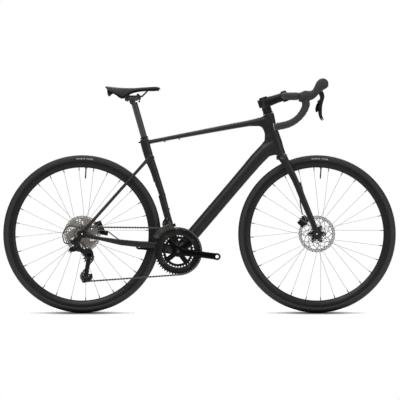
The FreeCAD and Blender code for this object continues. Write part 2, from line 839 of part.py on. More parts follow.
def cassette():
    """Twelve sprockets on one freehub body."""
    phase = seat_phase(rear_axle, drive_teeth)
    first = val("cog_first_y")
    step = val("cog_pitch")
    parts = []
    for i, teeth in enumerate(COGS):
        shape = toothed(teeth, val("cog_t"), None, phase)
        parts.append(at_wheel(shape, rear_axle, first + step * i))
    inner = first + step * (len(COGS) - 1)
    body = Part.makeCylinder(17, inner - first + 1.6, V(rear_axle.x, first - 0.8, rear_axle.z), Y)
    parts.append(body)
    whole = parts[0].multiFuse(parts[1:])
    for i, teeth in enumerate(COGS):
        seat = pitch_r(teeth)
        if seat < 45:
            continue
        arms = 6
        y = first + step * i
        for k in range(arms):
            turn = phase + 2 * math.pi * (k + 0.12 * i) / arms
            r = (seat - 7 + 24) / 2
            at = V(rear_axle.x + r * math.cos(turn), y - 1.2, rear_axle.z + r * math.sin(turn))
            window = Part.makeCylinder((seat - 9 - 21) / 2, 2.4, at, Y)
            whole = whole.cut(window)
    bore = Part.makeCylinder(val("axle_r") + val("axle_fit"), 80, V(rear_axle.x, -90, rear_axle.z), Y)
    lock = Part.makeCylinder(13.5, 2.2, V(rear_axle.x, first - 2.9, rear_axle.z), Y)
    return feature("cassette", one_solid(whole.fuse(lock).cut(bore).removeSplitter()))


cassette()


def pulley(label, centre):
    teeth = int(val("pulley_teeth"))
    shape = toothed(teeth, 1.6, 3.05, seat_phase(centre, teeth), 0.3)
    collar = Part.makeCylinder(6, 5.6, V(0, -2.8, 0), Y).cut(Part.makeCylinder(3.05, 8, V(0, -4, 0), Y))
    shape = shape.fuse(collar).removeSplitter()
    for k in range(5):
        turn = 2 * math.pi * k / 5
        at = V(11.5 * math.cos(turn), -2, 11.5 * math.sin(turn))
        shape = shape.cut(Part.makeCylinder(2.6, 4, at, Y))
    return feature(label, one_solid(at_wheel(shape, centre, drive_y)))


pulley("guide_pulley", guide)
pulley("tension_pulley", tension)

# ---------------------------------------------------------------- frame


def tube(stations, power=2.4):
    """A tube through stations: centre, way it runs, half width across Y, half depth."""
    wires = []
    for centre, way, half_y, half_up in stations:
        up = Y.cross(way) * -1
        wires.append(superoval(centre, Y, up, half_y, half_up, power))
    return one_solid(loft(wires, ruled=True))


def stay(points, power=2.3):
    """A stay through (x, y, z, half width, half depth) stations on the left side."""
    centres = [V(*p[:3]) for p in points]
    wires = []
    for i, p in enumerate(points):
        way = centres[min(i + 1, len(points) - 1)] - centres[max(i - 1, 0)]
        way = V(way.x, 0, way.z).normalize()
        up = V(-way.z, 0, way.x)
        wires.append(superoval(centres[i], Y, up, p[3], p[4], power))
    return one_solid(loft(wires, ruled=True))


def frame_shape():
    down_way = V(0.648, 0, 0.7615).normalize()
    down_side = V(-0.7615, 0, 0.648).normalize()
    down_at = lambda s: down_way * s + down_side * 241.5
    down = tube([
        (down_at(146), down_way, 33, 27), (down_at(210), down_way, 29, 28),
        (down_at(290), down_way, 27, 28), (down_at(370), down_way, 26, 28),
        (down_at(450), down_way, 25.5, 28), (down_at(530), down_way, 25, 28),
        (down_at(600), down_way, 24, 28.5), (down_at(665), down_way, 23.5, 30),
        (V(284.5, 0, 701.5), V(0.80, 0, 0.60), 22, 31), (on_steer(407, -8), steer_ahead, 17.5, 41.5),
    ])
    top_way = V(0.981, 0, 0.194)
    top = tube([
        (V(-236, 0, 735), top_way, 13, 9), (V(-196, 0, 743.2), top_way, 17, 9.2),
        (V(-130, 0, 756), top_way, 19, 9.8), (V(-60, 0, 769.3), top_way, 20, 10.5),
        (V(40, 0, 788.3), top_way, 20, 11.5), (V(140, 0, 807), top_way, 20, 12.6),
        (V(215, 0, 820.6), top_way, 19, 13.6), (V(248, 0, 826), top_way, 18.5, 16),
        (on_steer(520, -5), steer_ahead, 16, 21),
    ])
    seat = tube([
        (on_seat(-498, 5), seat_up * -1, 24, 17), (on_seat(-420, 3), seat_up * -1, 18, 15),
        (on_seat(-340, 3), seat_up * -1, 17, 15), (on_seat(-260, 4.6), seat_up * -1, 16.8, 16),
        (on_seat(-200, 3.2), seat_up * -1, 16.8, 16.4), (on_seat(-140, 1.4), seat_up * -1, 17.2, 17),
        (on_seat(-105, -2.2), seat_up * -1, 17.5, 19.4), (on_seat(-50, -3.6), seat_up * -1, 17.8, 19.9),
        (on_seat(-4, -3.0), seat_up * -1, 17.8, 19.6),
    ])
    head_line = [(361.4, 22.6), (372, 20.6), (455, 20.3), (505, 20.8), (525, 23.2), (544.4, 23.6)]
    head_wires = [superoval(on_steer(u), Y, steer_ahead, r, r, 2.0) for u, r in head_line]
    head = one_solid(loft(head_wires))
    shell = Part.makeCylinder(val("bb_r"), 2 * val("bb_half"), bb - Y * val("bb_half"), Y)
    junction = block(bb + V(4, 0, 22), (down_way, Y, down_side), (30, 36, 20))
    chain_stay = stay([
        (-92, 26, 268, 10, 17), (-150, 29, 287, 8.3, 15.5), (-200, 30, 293.5, 8, 15),
        (-262, 34.5, 297, 8, 14), (-340, 48.5, 305, 7.5, 13), (-425, 67, 320.5, 6, 8.5),
        (-470, 74.6, 330, 3.7, 8), (-500, 75.6, 337.5, 3.7, 11),
    ])
    seat_stay = stay([
        (-214, 8, 676, 9, 9), (-236, 16, 650, 7.5, 7.6), (-272, 27.5, 610, 6.2, 7),
        (-380, 48, 489, 6, 7), (-452, 67.5, 408, 5.5, 7),
        (-478, 74.3, 379, 3.7, 8), (-500, 75.6, 351, 3.7, 11),
    ])
    inner = val("rear_old_half") + 0.6
    drop = slab([(-512, 341), (-503, 341)], inner + 4.0, 4.0, 17.5)
    bridge = rod(V(-206, -20, 672), V(-206, 20, 672), 11)
    low_bridge = block(V(-118, 0, 280), (V(1, 0, 0.2), Y, V(-0.2, 0, 1)), (17, 34, 13))
    gusset = plate([
        (222, 812), (219, 807), (259.6, 807.5), (270.4, 801.5), (279, 786.5), (285, 760),
        (281.5, 746), (262, 721.5), (300, 735), (312, 780), (296, 822),
    ], 0, 15.5)
    whole = [down, top, seat, head, shell, junction, bridge, low_bridge, gusset]
    for part in (chain_stay, seat_stay, drop):
        whole += side_copy(part)
    solid = whole[0].multiFuse(whole[1:])
    fit_r = val("axle_fit")
    tools = [
        rod(on_seat(-val("post_in") - 62), on_seat(20), val("post_r") + fit_r),
        rod(on_steer(355), on_steer(550), val("steerer_r") + 0.8),
        rod(on_steer(355), on_steer(368.4), 18.6),
        rod(on_steer(537), on_steer(550), 18.6),
        rod(bb - Y * 50, bb + Y * 50, val("spindle_r") + 3),
        rod(bb - Y * 50, bb - Y * 31.5, val("cup_r") + 0.1),
        rod(bb + Y * 31.5, bb + Y * 50, val("cup_r") + 0.1),
        rod(rear_axle - Y * 90, rear_axle + Y * 90, val("axle_r") + 0.1),
    ]
    tools += [rod(at - way * 12, at + way * 8, 2.6) for at, way in BOTTLE_POINTS]
    tools += [rod(at - way * 1.8, at + way * 6, 4.9) for at, way in BOTTLE_POINTS]
    tools.append(HOSE_HOLE)
    tools.append(HOUSING_HOLE)
    tools.append(rod(*CLAMP_SCREW, 3.1))
    return one_solid(solid.cut(tools))


down_out = V(-0.7615, 0, 0.648).normalize()
BOTTLE_POINTS = [
    (V(82.7, 0, 511.0), down_out), (V(40.7, 0, 463.5), down_out),
    (V(-147.2, 0, 511.0), seat_ahead), (V(-129.8, 0, 450.0), seat_ahead),
    (V(-150.0, 0, 739.4), V(0.194, 0, -0.981)), (V(-87.3, 0, 750.6), V(0.194, 0, -0.981)),
]


def bottle_bolt(at, way):
    """A low round head on a short thread, its socket facing out."""
    head = Part.makeCone(4.6, 3.6, 2.6, at - way * 1.5, way)
    stem = rod(at - way * 9, at - way * 1.5, 2.45)
    socket = rod(at - way * 0.6, at + way * 4, 1.6)
    return one_solid(head.fuse(stem).removeSplitter().cut(socket))


rear_hose_line = rounded_path(
    [V(-430, 52.5, 356), V(-396, 55, 352), V(-368, 58, 330), V(-330, 47.5, 303.5), V(-300, 41.0, 300)],
    [24, 24, 40],
)
HOSE_HOLE = swept(rear_hose_line, 2.9)
shift_line = rounded_path(
    [V(-450, -69.5, 327.5), V(-478, -81.5, 346), V(-520, -86, 371), V(-572, -89, 380), V(-592, -89, 338),
     V(-583, -84, 300), V(-558, -80, 300)],
    [30, 50, 26, 34, 14],
)
HOUSING_HOLE = swept(shift_line, 2.9)
CLAMP_SCREW = (on_seat(-13, -30), on_seat(-13, -14.5))

feature("frame", frame_shape())
feature("bottle_bolts", Part.makeCompound([bottle_bolt(*p) for p in BOTTLE_POINTS]))
feature("rear_brake_hose", swept(rear_hose_line, 2.5))


def seat_clamp_shape():
    """The collar round the post above the frame, with its screw behind."""
    collar = rod(on_seat(-3.2), on_seat(4), 17.2)
    screw = rod(*CLAMP_SCREW, 2.7)
    head = rod(on_seat(-13, -30), on_seat(-13, -22), 3.0)
    collar = collar.cut(rod(on_seat(-20), on_seat(20), val("post_r") + 0.2))
    return collar, screw.fuse(head).removeSplitter()


collar, clamp_screw = seat_clamp_shape()
collar.translate(seat_up * 0.2)
feature("seat_clamp", Part.makeCompound([collar, clamp_screw]))


def bearing_rings():
    """Headset bearings above and below, bearing cups in the bottom bracket shell."""
    hole = val("steerer_r") + val("axle_fit")
    rings = []
    for low, high in ((361.6, 368.3), (537.1, 544.2)):
        rings.append(rod(on_steer(low), on_steer(high), 18.5).cut(rod(on_steer(350), on_steer(560), hole)))
    half = val("bb_half")
    bore = val("spindle_r") + val("axle_fit")
    for side in (-1, 1):
        cup = rod(bb + Y * side * 31.8, bb + Y * side * half, val("cup_r"))
        lip = rod(bb + Y * side * (half + 0.1), bb + Y * side * (half + 1.0), 22)
        whole = cup.fuse(rod(bb + Y * side * half, bb + Y * side * (half + 0.1), val("cup_r"))).fuse(lip)
        rings.append(one_solid(whole.removeSplitter().cut(rod(bb - Y * 60, bb + Y * 60, bore))))
    return Part.makeCompound(rings)


feature("frame_bearings", bearing_rings())

# ---------------------------------------------------------------- seatpost and saddle


def seatpost_shape():
    post = rod(on_seat(-val("post_in")), on_seat(val("post_out") + 9), val("post_r"))
    post = post.cut(rod(on_seat(-val("post_in") - 1), on_seat(val("post_out") - 30), val("post_r") - 2.2))
    neck = rod(V(-290, -14, 913), V(-290, 14, 913), 13.0)
    cradle = block(V(-295, 0, RAIL_Z - 8.6), (V(1, 0, 0), Y, V(0, 0, 1)), (28, 27, 8.2))
    ear = block(V(-263, 0, RAIL_Z - 8.0), (V(1, 0, 0), Y, V(0, 0, 1)), (9.5, 8, 4.2))
    whole = post.multiFuse([neck, cradle, ear])
    recess = rod(V(CLAMP_BOLTS[0], 0, 890), V(CLAMP_BOLTS[0], 0, 920.6), 4.8)
    rails = [rod(V(-330, s * 22, RAIL_Z), V(-230, s * 22, RAIL_Z), val("rail_r") + 0.3) for s in (-1, 1)]
    bolts = [rod(V(x, 0, 890), V(x, 0, 945), 2.9) for x in CLAMP_BOLTS]
    return one_solid(whole.cut(rails + bolts + [recess]).removeSplitter())


RAIL_Z = val("rail_z")
CLAMP_BOLTS = (-312.0, -260.5)
feature("seatpost", seatpost_shape())


def saddle_clamp_shape():
    """Upper plate over both rails and the two bolts that draw it down."""
    body = block(V(-287, 0, RAIL_Z + 3.5), (V(1, 0, 0), Y, V(0, 0, 1)), (33, 26.5, 3.1))
    rails = [rod(V(-330, s * 22, RAIL_Z), V(-230, s * 22, RAIL_Z), val("rail_r") + 0.3) for s in (-1, 1)]
    body = body.cut(rails)
    parts = [rod(V(-266, -11, RAIL_Z + 8.5), V(-266, 11, RAIL_Z + 8.5), 6.0)]
    for x, low in zip(CLAMP_BOLTS, (914, 911)):
        parts.append(rod(V(x, 0, low + 1), V(x, 0, RAIL_Z + 9), 2.5))
        parts.append(rod(V(x, 0, low), V(x, 0, low + 5), 4.4))
    return one_solid(body.multiFuse(parts).removeSplitter())


def rail_line():
    return rounded_path(
        [V(-222, 11, 963), V(-250, 22, RAIL_Z), V(-324, 22, RAIL_Z), V(-362, 28, 945), V(-386, 31, 960)],
        [22, 40, 20],
    )


rails = [swept(rail_line(), val("rail_r"))]
feature("saddle_rails", Part.makeCompound(rails + [rails[0].mirror(V(0, 0, 0), Y)]))
feature("saddle_clamp", saddle_clamp_shape())

SADDLE = [
    # x, top, edge height, half width
    (-407.5, 975.0, 971.0, 20.0),
    (-399.0, 980.0, 964.5, 48.0),
    (-378.0, 977.2, 955.0, 67.0),
    (-352.0, 974.6, 943.0, 71.5),
    (-336.0, 973.5, 935.5, 67.0),
    (-320.0, 972.8, 940.0, 58.0),
    (-300.0, 972.4, 953.5, 45.0),
    (-276.0, 973.0, 962.0, 33.0),
    (-250.0, 975.0, 966.0, 26.0),
    (-220.0, 976.6, 967.6, 21.5),
    (-190.0, 978.0, 968.0, 18.0),
    (-175.0, 975.5, 968.0, 12.5),
    (-169.0, 971.0, 967.0, 5.0),
]


def saddle_section(x, top, edge, half, over, under):
    """A closed saddle section between two surfaces, over and under the saddle's own top surface."""
    upper = []
    lower = []
    steps = 12
    for i in range(steps + 1):
        k = -1 + 2 * i / steps
        sag = abs(k) ** 2.6
        z = top - (top - edge) * sag
        upper.append(V(x, k * half, z - over))
        lower.append(V(x, k * (half - 1.5), z - min(under, over + 0.8 + (under - over) * (1 - 0.55 * sag))))
    up_curve = Part.BSplineCurve()
    up_curve.interpolate(upper)
    low_curve = Part.BSplineCurve()
    low_curve.interpolate(list(reversed(lower)))
    sides = [
        Part.LineSegment(upper[-1], lower[-1]).toShape(),
        Part.LineSegment(lower[0], upper[0]).toShape(),
    ]
    return Part.Wire([up_curve.toShape(), sides[0], low_curve.toShape(), sides[1]])


def saddle_body(over, under, stations):
    wires = [saddle_section(x, top, edge, half, over, under) for x, top, edge, half in stations]
    return one_solid(loft(wires))


saddle_skin = saddle_body(0.0, 7.0, SADDLE)
feature("saddle_cover", saddle_skin)
inside = [(x, top, edge + 1.5, half - 4.5) for x, top, edge, half in SADDLE[1:-1]]
rail_room = swept(rail_line(), val("rail_r") + 0.1)
rail_room = [rail_room, rail_room.mirror(V(0, 0, 0), Y)]
feature("saddle_shell", one_solid(saddle_body(8.4, 11.2, inside).cut([saddle_skin] + rail_room)))

# ---------------------------------------------------------------- fork and bars

BLADE = [
    # u along the steering axis, v ahead of it, y, half width, half depth
    (352, 1.5, 29.0, 12.0, 21.0),
    (340, 4.1, 34.0, 11.5, 20.2),
    (325, 8.0, 38.0, 9.8, 18.6),
    (300, 13.5, 41.0, 8.4, 17.0),
    (270, 19.5, 43.2, 7.8, 15.4),
    (240, 24.4, 44.9, 7.4, 14.2),
    (200, 28.8, 46.8, 7.0, 14.0),
    (160, 31.9, 48.8, 6.6, 14.4),
    (120, 35.1, 50.8, 6.1, 14.2),
    (80, 38.6, 52.6, 5.6, 13.6),
    (50, 41.2, 53.8, 5.2, 13.0),
    (25, 43.6, 54.6, 4.5, 12.6),
    (0, 46.0, 54.8, 4.3, 12.2),
]


def fork_shape():
    wires = [superoval(on_steer(u, v, y), Y, steer_ahead, a, b, 2.3) for u, v, y, a, b in BLADE]
    blade = one_solid(loft(wires, ruled=True))
    crown = tube([
        (on_steer(360.2), steer_up * -1, 21.8, 22.0), (on_steer(352), steer_up * -1, 30, 24.5),
        (on_steer(344), steer_up * -1, 38, 24.5), (on_steer(341, 1), steer_up * -1, 39, 23.5),
    ], 2.2)
    wheel_gap = Part.makeTorus(326, 22.5, front_axle, Y)
    wheel_disc = Part.makeCylinder(326, 45, front_axle - Y * 22.5, Y)
    steerer = rod(on_steer(350), on_steer(val("steerer_top_u")), val("steerer_r"))
    race = rod(on_steer(359), on_steer(361.3), 17.5)
    inner = val("front_old_half") + 0.2
    drop = slab([(512, 336), (506, 343)], inner + 4.4, 4.2, 13.5)
    parts = [crown, steerer, race]
    for part in (blade, drop):
        parts += side_copy(part)
    whole = parts[0].multiFuse(parts[1:])
    tools = [
        wheel_gap, wheel_disc,
        rod(front_axle - Y * 70, front_axle + Y * 70, val("axle_r") + 0.1),
        rod(on_steer(390), on_steer(620), val("steerer_r") - 2.2),
        FRONT_HOSE_HOLE,
    ]
    return one_solid(whole.cut(tools).removeSplitter())


front_hose_line = rounded_path(
    [V(446, 41.5, 424), V(440, 44, 452), V(434, 45.8, 494), V(446, 45.6, 530), V(436, 43.5, 566)],
    [40, 60, 30],
)
FRONT_HOSE_HOLE = swept(front_hose_line, 2.9)
fork = feature("fork", fork_shape())
feature("front_brake_hose", swept(front_hose_line, 2.5))


def ring_on_steer(low, high, r, hole):
    return rod(on_steer(low), on_steer(high), r).cut(rod(on_steer(low - 1), on_steer(high + 1), hole))


spacer_hole = val("steerer_r") + 0.3
spacer_rings = [
    ring_on_steer(545.0, 549.4, 22.6, spacer_hole), ring_on_steer(549.6, 561.4, 20.2, spacer_hole),
    ring_on_steer(561.6, 574.4, 20.2, spacer_hole),
]


def cap_shape():
    """The lid that closes the steerer above the stem, turned from half its outline."""
    outline = [(0, 0), (17.5, 0), (18.2, 1.0), (17.0, 4.0), (4.6, 4.6), (4.4, 3.2), (0, 3.2)]
    corners = [V(r, 0, h) for r, h in outline]
    lid = Part.Face(Part.makePolygon(corners + corners[:1])).revolve(V(0, 0, 0), V(0, 0, 1), 360)
    seat_at = on_steer(val("stem_u") + 20.2)
    lid.Placement = FreeCAD.Placement(seat_at, FreeCAD.Rotation(V(0, 0, 1), steer_up))
    return one_solid(lid)


feature("headset_spacers", Part.makeCompound(spacer_rings + [cap_shape()]))
bar_at = on_steer(val("stem_u"), val("stem_length"))


def stem_shape():
    """Steerer clamp, body and the half of the bar clamp that is part of it."""
    u = val("stem_u")
    reach_at = val("stem_length")
    collar = rod(on_steer(u - 21.2), on_steer(u + 20), 20.0)
    body = one_solid(loft([
        superoval(on_steer(u, -6), Y, steer_up, 19.0, 20.0, 2.8),
        superoval(on_steer(u - 1, 30), Y, steer_up, 18.5, 20.5, 2.8),
        superoval(on_steer(u, 62), Y, steer_up, 19.5, 18.6, 2.8),
        superoval(on_steer(u, 84), Y, steer_up, 22.0, 19.8, 3.2),
    ]))
    boss = one_solid(loft([
        superoval(on_steer(u, -28.5), Y, steer_up, 12.5, 17.2, 3.0),
        superoval(on_steer(u, -3), Y, steer_up, 17.0, 18.6, 3.0),
    ]))
    grip = rod(bar_at - Y * 23, bar_at + Y * 23, 20.0)
    ears = [
        block(on_steer(u + side * 18.6, reach_at - 5.2, y), (steer_ahead, Y, steer_up), (5.0, 5.5, 5.2))
        for side in (-1, 1) for y in (-15.0, 15.0)
    ]
    whole = collar.multiFuse([body, boss, grip] + ears)
    ahead = block(on_steer(u, val("stem_length") + 20.3), (steer_ahead, Y, steer_up), (20, 40, 40))
    slot = block(on_steer(u, -20), (steer_ahead, Y, steer_up), (12, 1.2, 40))
    tools = [
        rod(on_steer(u - 40), on_steer(u + 40), val("steerer_r") + 0.15),
        rod(bar_at - Y * 40, bar_at + Y * 40, val("stem_clamp_r") + 0.15),
        rod(on_steer(u - 40), on_steer(u - 21.3), 20.8),
        ahead, slot,
    ]
    tools += [rod(a, b, 2.7) for a, b in STEM_BOLTS]
    tools += [rod(b - Y * 0.7, b + Y * 8, 4.4) for a, b in STEM_BOLTS[4:]]
    return one_solid(whole.cut(tools).removeSplitter())


def stem_bolt_lines():
    u = val("stem_u")
    reach = val("stem_length")
    lines = []
    for y in (-15.0, 15.0):
        for side in (-1, 1):
            at = u + side * 19.0
            lines.append((on_steer(at, reach - 13, y), on_steer(at, reach + 9.5, y)))
    for du in (-12.0, 12.0):
        lines.append((on_steer(u + du, -17.5, -16.5), on_steer(u + du, -17.5, 15.0)))
    return lines


STEM_BOLTS = stem_bolt_lines()


def faceplate_shape():
    u = val("stem_u")
    reach = val("stem_length")
    body = rod(bar_at - Y * 23, bar_at + Y * 23, 20.0)
    pads = [
        block(on_steer(u + side * 18.6, reach + 4.7, y), (steer_ahead, Y, steer_up), (4.2, 5.5, 5.2))
        for side in (-1, 1) for y in (-15.0, 15.0)
    ]
    body = body.multiFuse(pads)
    behind = block(on_steer(u, reach - 29.9), (steer_ahead, Y, steer_up), (30.5, 40, 40))
    tools = [behind, rod(bar_at - Y * 40, bar_at + Y * 40, val("stem_clamp_r") + 0.15)]
    tools.append(block(on_steer(u, reach + 20), (steer_ahead, Y, steer_up), (20, 7, 12)))
    tools += [rod(a, b, 2.7) for a, b in STEM_BOLTS[:4]]
    tools += [rod(b - steer_ahead * 0.6, b + steer_ahead * 9, 4.3) for a, b in STEM_BOLTS[:4]]
    return one_solid(body.cut(tools).removeSplitter())


def bolt(a, b):
    way = (b - a).normalize()
    head = rod(b - way * 0.4, b + way * 3.6, 4.0)
    shape = rod(a + way * 1.5, b - way * 0.4, 2.4).fuse(head).removeSplitter()
    return one_solid(shape.cut(rod(b + way * 1.2, b + way * 5, 2.0)))


stem = feature("stem", stem_shape())
feature("stem_faceplate", faceplate_shape())
feature("stem_bolts", Part.makeCompound([bolt(*p) for p in STEM_BOLTS]))


def bar_line(inset=0.0):
    """The bar's middle line on the left: tops, forward ramp, hook, drop."""
    half = val("bar_half")
    x0, z0 = bar_at.x, bar_at.z
    bend = 48.0
    hook_r, hook_turn, drop_r = 34.0, math.radians(20), 125.0
    fall = math.radians(78.7)
    ramp_end = V(x0 + 59, half, z0)
    hook_c = ramp_end - V(0, 0, hook_r)
    hook_end = hook_c + V(math.cos(hook_turn), 0, math.sin(-hook_turn)) * hook_r
    hook_mid = hook_c + V(math.sin(math.radians(55)), 0, math.cos(math.radians(55))) * hook_r
    drop_c = hook_end - V(math.cos(hook_turn), 0, -math.sin(hook_turn)) * drop_r
    mid = (hook_turn + fall) / 2
    drop_mid = drop_c + V(math.cos(mid), 0, -math.sin(mid)) * drop_r
    drop_end = drop_c + V(math.cos(fall), 0, -math.sin(fall)) * drop_r
    way = V(-math.sin(fall), 0, -math.cos(fall))
    end = drop_end + way * ((drop_end.x - 322.0) / math.sin(fall))
    corner = V(x0, half, z0)
    s = bend * math.tan(math.radians(45))
    a, b = corner - Y * s, corner + V(s, 0, 0)
    m = V(x0 + bend - bend * math.cos(math.pi / 4), half - bend + bend * math.sin(math.pi / 4), z0)
    return Part.Wire([
        Part.LineSegment(V(x0, inset, z0), a).toShape(), Part.Arc(a, m, b).toShape(),
        Part.LineSegment(b, ramp_end).toShape(), Part.Arc(ramp_end, hook_mid, hook_end).toShape(),
        Part.Arc(hook_end, drop_mid, drop_end).toShape(), Part.LineSegment(drop_end, end).toShape(),
    ]), end, way


bar_path, bar_end, bar_end_way = bar_line()


def handlebar_shape():
    left = swept(bar_path, val("bar_r"))
    swell = rod(bar_at, bar_at + Y * 42, val("stem_clamp_r"))
    taper = Part.makeCone(val("stem_clamp_r"), val("bar_r"), 24, bar_at + Y * 42, Y)
    half = left.multiFuse([swell, taper])
    half = half.cut(rod(bar_end - bar_end_way * 22, bar_end + bar_end_way * 5, 9.9))
    return one_solid(half.fuse(half.mirror(V(0, 0, 0), Y)).removeSplitter())


feature("handlebar", handlebar_shape())
HOOD_BACK = V(bar_at.x + 62, val("bar_half"), bar_at.z - 26.5)


HOOD = [
    # x, top, bottom, half width
    (430.0, 954.4, 921.0, 16.0),
    (446.0, 956.5, 914.0, 17.2),
    (466.0, 958.3, 915.0, 17.6),
    (484.0, 960.5, 919.5, 17.2),
    (497.0, 976.0, 925.0, 16.6),
    (506.0, 996.0, 932.0, 15.8),
    (514.0, 1006.5, 941.0, 15.2),
    (524.0, 1011.0, 950.5, 14.6),
    (537.0, 1011.0, 960.5, 13.6),
    (548.0, 1005.0, 966.5, 11.6),
    (554.5, 994.0, 974.0, 7.0),
]
LEVER_PIVOT = V(523.5, 0, 955.0)
LEVER_Y = val("bar_half")


def hood_body(side, grow=0.0):
    y = side * LEVER_Y
    wires = [
        superoval(V(x, y, (top + low) / 2), Y, V(0, 0, 1), half + grow, (top - low) / 2 + grow, 2.4)
        for x, top, low, half in HOOD
    ]
    return one_solid(loft(wires))


def tape_shape():
    """Tape on the left side: one piece behind the hood and one below it."""
    r = val("tape_r")
    outer = swept(bar_line(66.0)[0], r)
    inner = swept(bar_path, val("bar_r") + 0.25)
    centre_cut = rod(bar_at, bar_at + Y * 66.2, val("stem_clamp_r") + 0.3)
    back = HOOD_BACK.x - 0.4
    zone = plate([
        (back, 1000), (back, 915), (484, 919.3), (497, 924.8),
        (506, 931.8), (514, 940.8), (524, 950.3), (570, 1000),
    ], HOOD_BACK.y, 50)
    cut = outer.cut([inner, centre_cut, zone, hood_body(1, 0.4)])
    return [solid for solid in cut.Solids if solid.Volume > 2000]


left_tape = tape_shape()
all_tape = left_tape + [s.mirror(V(0, 0, 0), Y) for s in left_tape]
feature("bar_tape", Part.makeCompound(all_tape))


def end_plug():
    cap = rod(bar_end + bar_end_way * 0.3, bar_end + bar_end_way * 3.4, val("tape_r") - 0.7)
    stub = rod(bar_end - bar_end_way * 18, bar_end + bar_end_way * 1, 9.6)
    return one_solid(cap.fuse(stub).removeSplitter())


plug = end_plug()
feature("bar_end_plugs", Part.makeCompound(side_copy(plug)))

def hood_shape(side):
    y = side * LEVER_Y
    bar = swept(bar_path, val("bar_r") + 0.2)
    if side < 0:
        bar = bar.mirror(V(0, 0, 0), Y)
    slot = block(V(523, y, 938), (V(0.75, 0, 0.66), Y, V(-0.66, 0, 0.75)), (46, 7.9, 22.5))
    body = hood_body(side).cut([bar, slot])
    pin = rod(V(LEVER_PIVOT.x, y - 9.5, LEVER_PIVOT.z), V(LEVER_PIVOT.x, y + 9.5, LEVER_PIVOT.z), 2.0)
    return one_solid(body.fuse(pin).removeSplitter())


LEVER_LINE = [
    # x, z, half width, half thickness
    (523.5, 955.0, 7.2, 5.2), (528.5, 944.0, 7.2, 5.2), (530.5, 932.0, 7.0, 5.4), (527.5, 916.0, 6.2, 5.8),
    (523.5, 899.0, 5.8, 6.4), (521.5, 882.0, 5.9, 7.0), (521.5, 868.0, 5.4, 7.0), (524.0, 851.0, 4.2, 6.0),
    (529.5, 838.5, 3.0, 4.6), (533.5, 833.0, 1.8, 3.2),
]
PADDLE_LINE = [(513.5, 904.0), (510.0, 894.0), (507.5, 884.0), (509.5, 874.0)]
PADDLE_PIVOT = V(515.6, 0, 911.0)


def lever_shape(side):
    """Brake blade on its pivot pin, with the two lugs and the pin that carry the shift paddle."""
    y = side * LEVER_Y
    points = [V(x, y, z) for x, z, half, thick in LEVER_LINE]
    wires = []
    for k, (x, z, half, thick) in enumerate(LEVER_LINE):
        way = points[min(k + 1, len(points) - 1)] - points[max(k - 1, 0)]
        way.normalize()
        wires.append(superoval(points[k], V(-way.z, 0, way.x), Y, half, thick, 2.8))
    blade = one_solid(loft(wires))
    head = rod(points[0] - Y * 5.2, points[0] + Y * 5.2, 7.2)
    at = PADDLE_PIVOT + Y * y
    lugs = [
        block(at + V(4.2, 0, side_z * 8.0), (V(1, 0, 0), Y, V(0, 0, 1)), (6.8, 3.4, 1.6))
        for side_z in (-1, 1)
    ]
    pin = rod(at - V(0, 0, 9), at + V(0, 0, 9), 1.5)
    whole = blade.multiFuse([head, pin] + lugs)
    hole = rod(points[0] - Y * 20, points[0] + Y * 20, 2.05)
    return one_solid(whole.cut(hole).removeSplitter())


def paddle_shape(side):
    """Shift paddle behind the blade, its eye round the blade's pin."""
    at = PADDLE_PIVOT + Y * (side * LEVER_Y)
    blade = slab(PADDLE_LINE, at.y, 4.0, 4.6)
    eye = rod(at - V(0, 0, 6.1), at + V(0, 0, 6.1), 2.9)
    hole = rod(at - V(0, 0, 10), at + V(0, 0, 10), 1.55)
    lower_lug = rod(at - V(0, 0, 9.9), at - V(0, 0, 6.1), 4.4)
    lower_lug = lower_lug.fuse(block(at + V(5, 0, -8.0), (V(1, 0, 0), Y, V(0, 0, 1)), (7.4, 4.6, 1.9)))
    return one_solid(blade.fuse(eye).cut([hole, lower_lug]).removeSplitter())


for side, name in ((-1, "right"), (1, "left")):
    feature(f"brake_hood_{name}", hood_shape(side))
    feature(f"brake_lever_{name}", lever_shape(side))
    feature(f"shift_paddle_{name}", paddle_shape(side))

# ---------------------------------------------------------------- brakes


def caliper(label, centre, y, axle, blade, clear):
    """A two-sided caliper over the rotor, its thin side by the spokes, with a foot towards the frame."""
    out = (centre - axle).normalize()
    along = V(-out.z, 0, out.x)
    body = block(centre + Y * (y + 3.2), (along, Y, out), (24, 13.6, 15.5))
    body = one_solid(body.makeFillet(3.5, body.Edges))
    body = body.fuse(block(*blade))
    disc = Part.makeCylinder(val("rotor_r") + 3.5, 9.4, V(axle.x, y - 4.7, axle.z), Y)
    return feature(label, one_solid(body.cut([disc] + clear).removeSplitter()))


def pads(label, centre, y, axle):
    """Two pads, one each side of the rotor, cut to the caliper's slot."""
    out = (centre - axle).normalize()
    along = V(-out.z, 0, out.x)
    mid = axle + out * (val("rotor_r") - 9)
    parts = []
    for side in (-1, 1):
        parts.append(block(mid + Y * (y + side * 2.95), (along, Y, out), (13, 1.55, 9)))
    return feature(label, Part.makeCompound(parts))


FRONT_CALIPER = V(449.5, 0, 396.5)
FORK_ROOM = [FRONT_HOSE_HOLE] + [fork.Shape.translated(steer_ahead * -d) for d in (0.0, 0.4)]
REAR_CALIPER = V(-433.5, 0, 373.0)
caliper(
    "front_brake_caliper", FRONT_CALIPER, val("front_rotor_y"), front_axle,
    (V(453.4, 46.5, 398.6), (steer_ahead, Y, steer_up), (6.6, 5.5, 22.0)), FORK_ROOM,
)
caliper(
    "rear_brake_caliper", REAR_CALIPER, val("rear_rotor_y"), rear_axle,
    (V(-418, 62.0, 347), (V(0.98, 0, -0.17), Y, V(0.17, 0, 0.98)), (22.0, 6.0, 10.0)), [HOSE_HOLE],
)
pads("front_brake_pads", FRONT_CALIPER, val("front_rotor_y"), front_axle)
pads("rear_brake_pads", REAR_CALIPER, val("rear_rotor_y"), rear_axle)

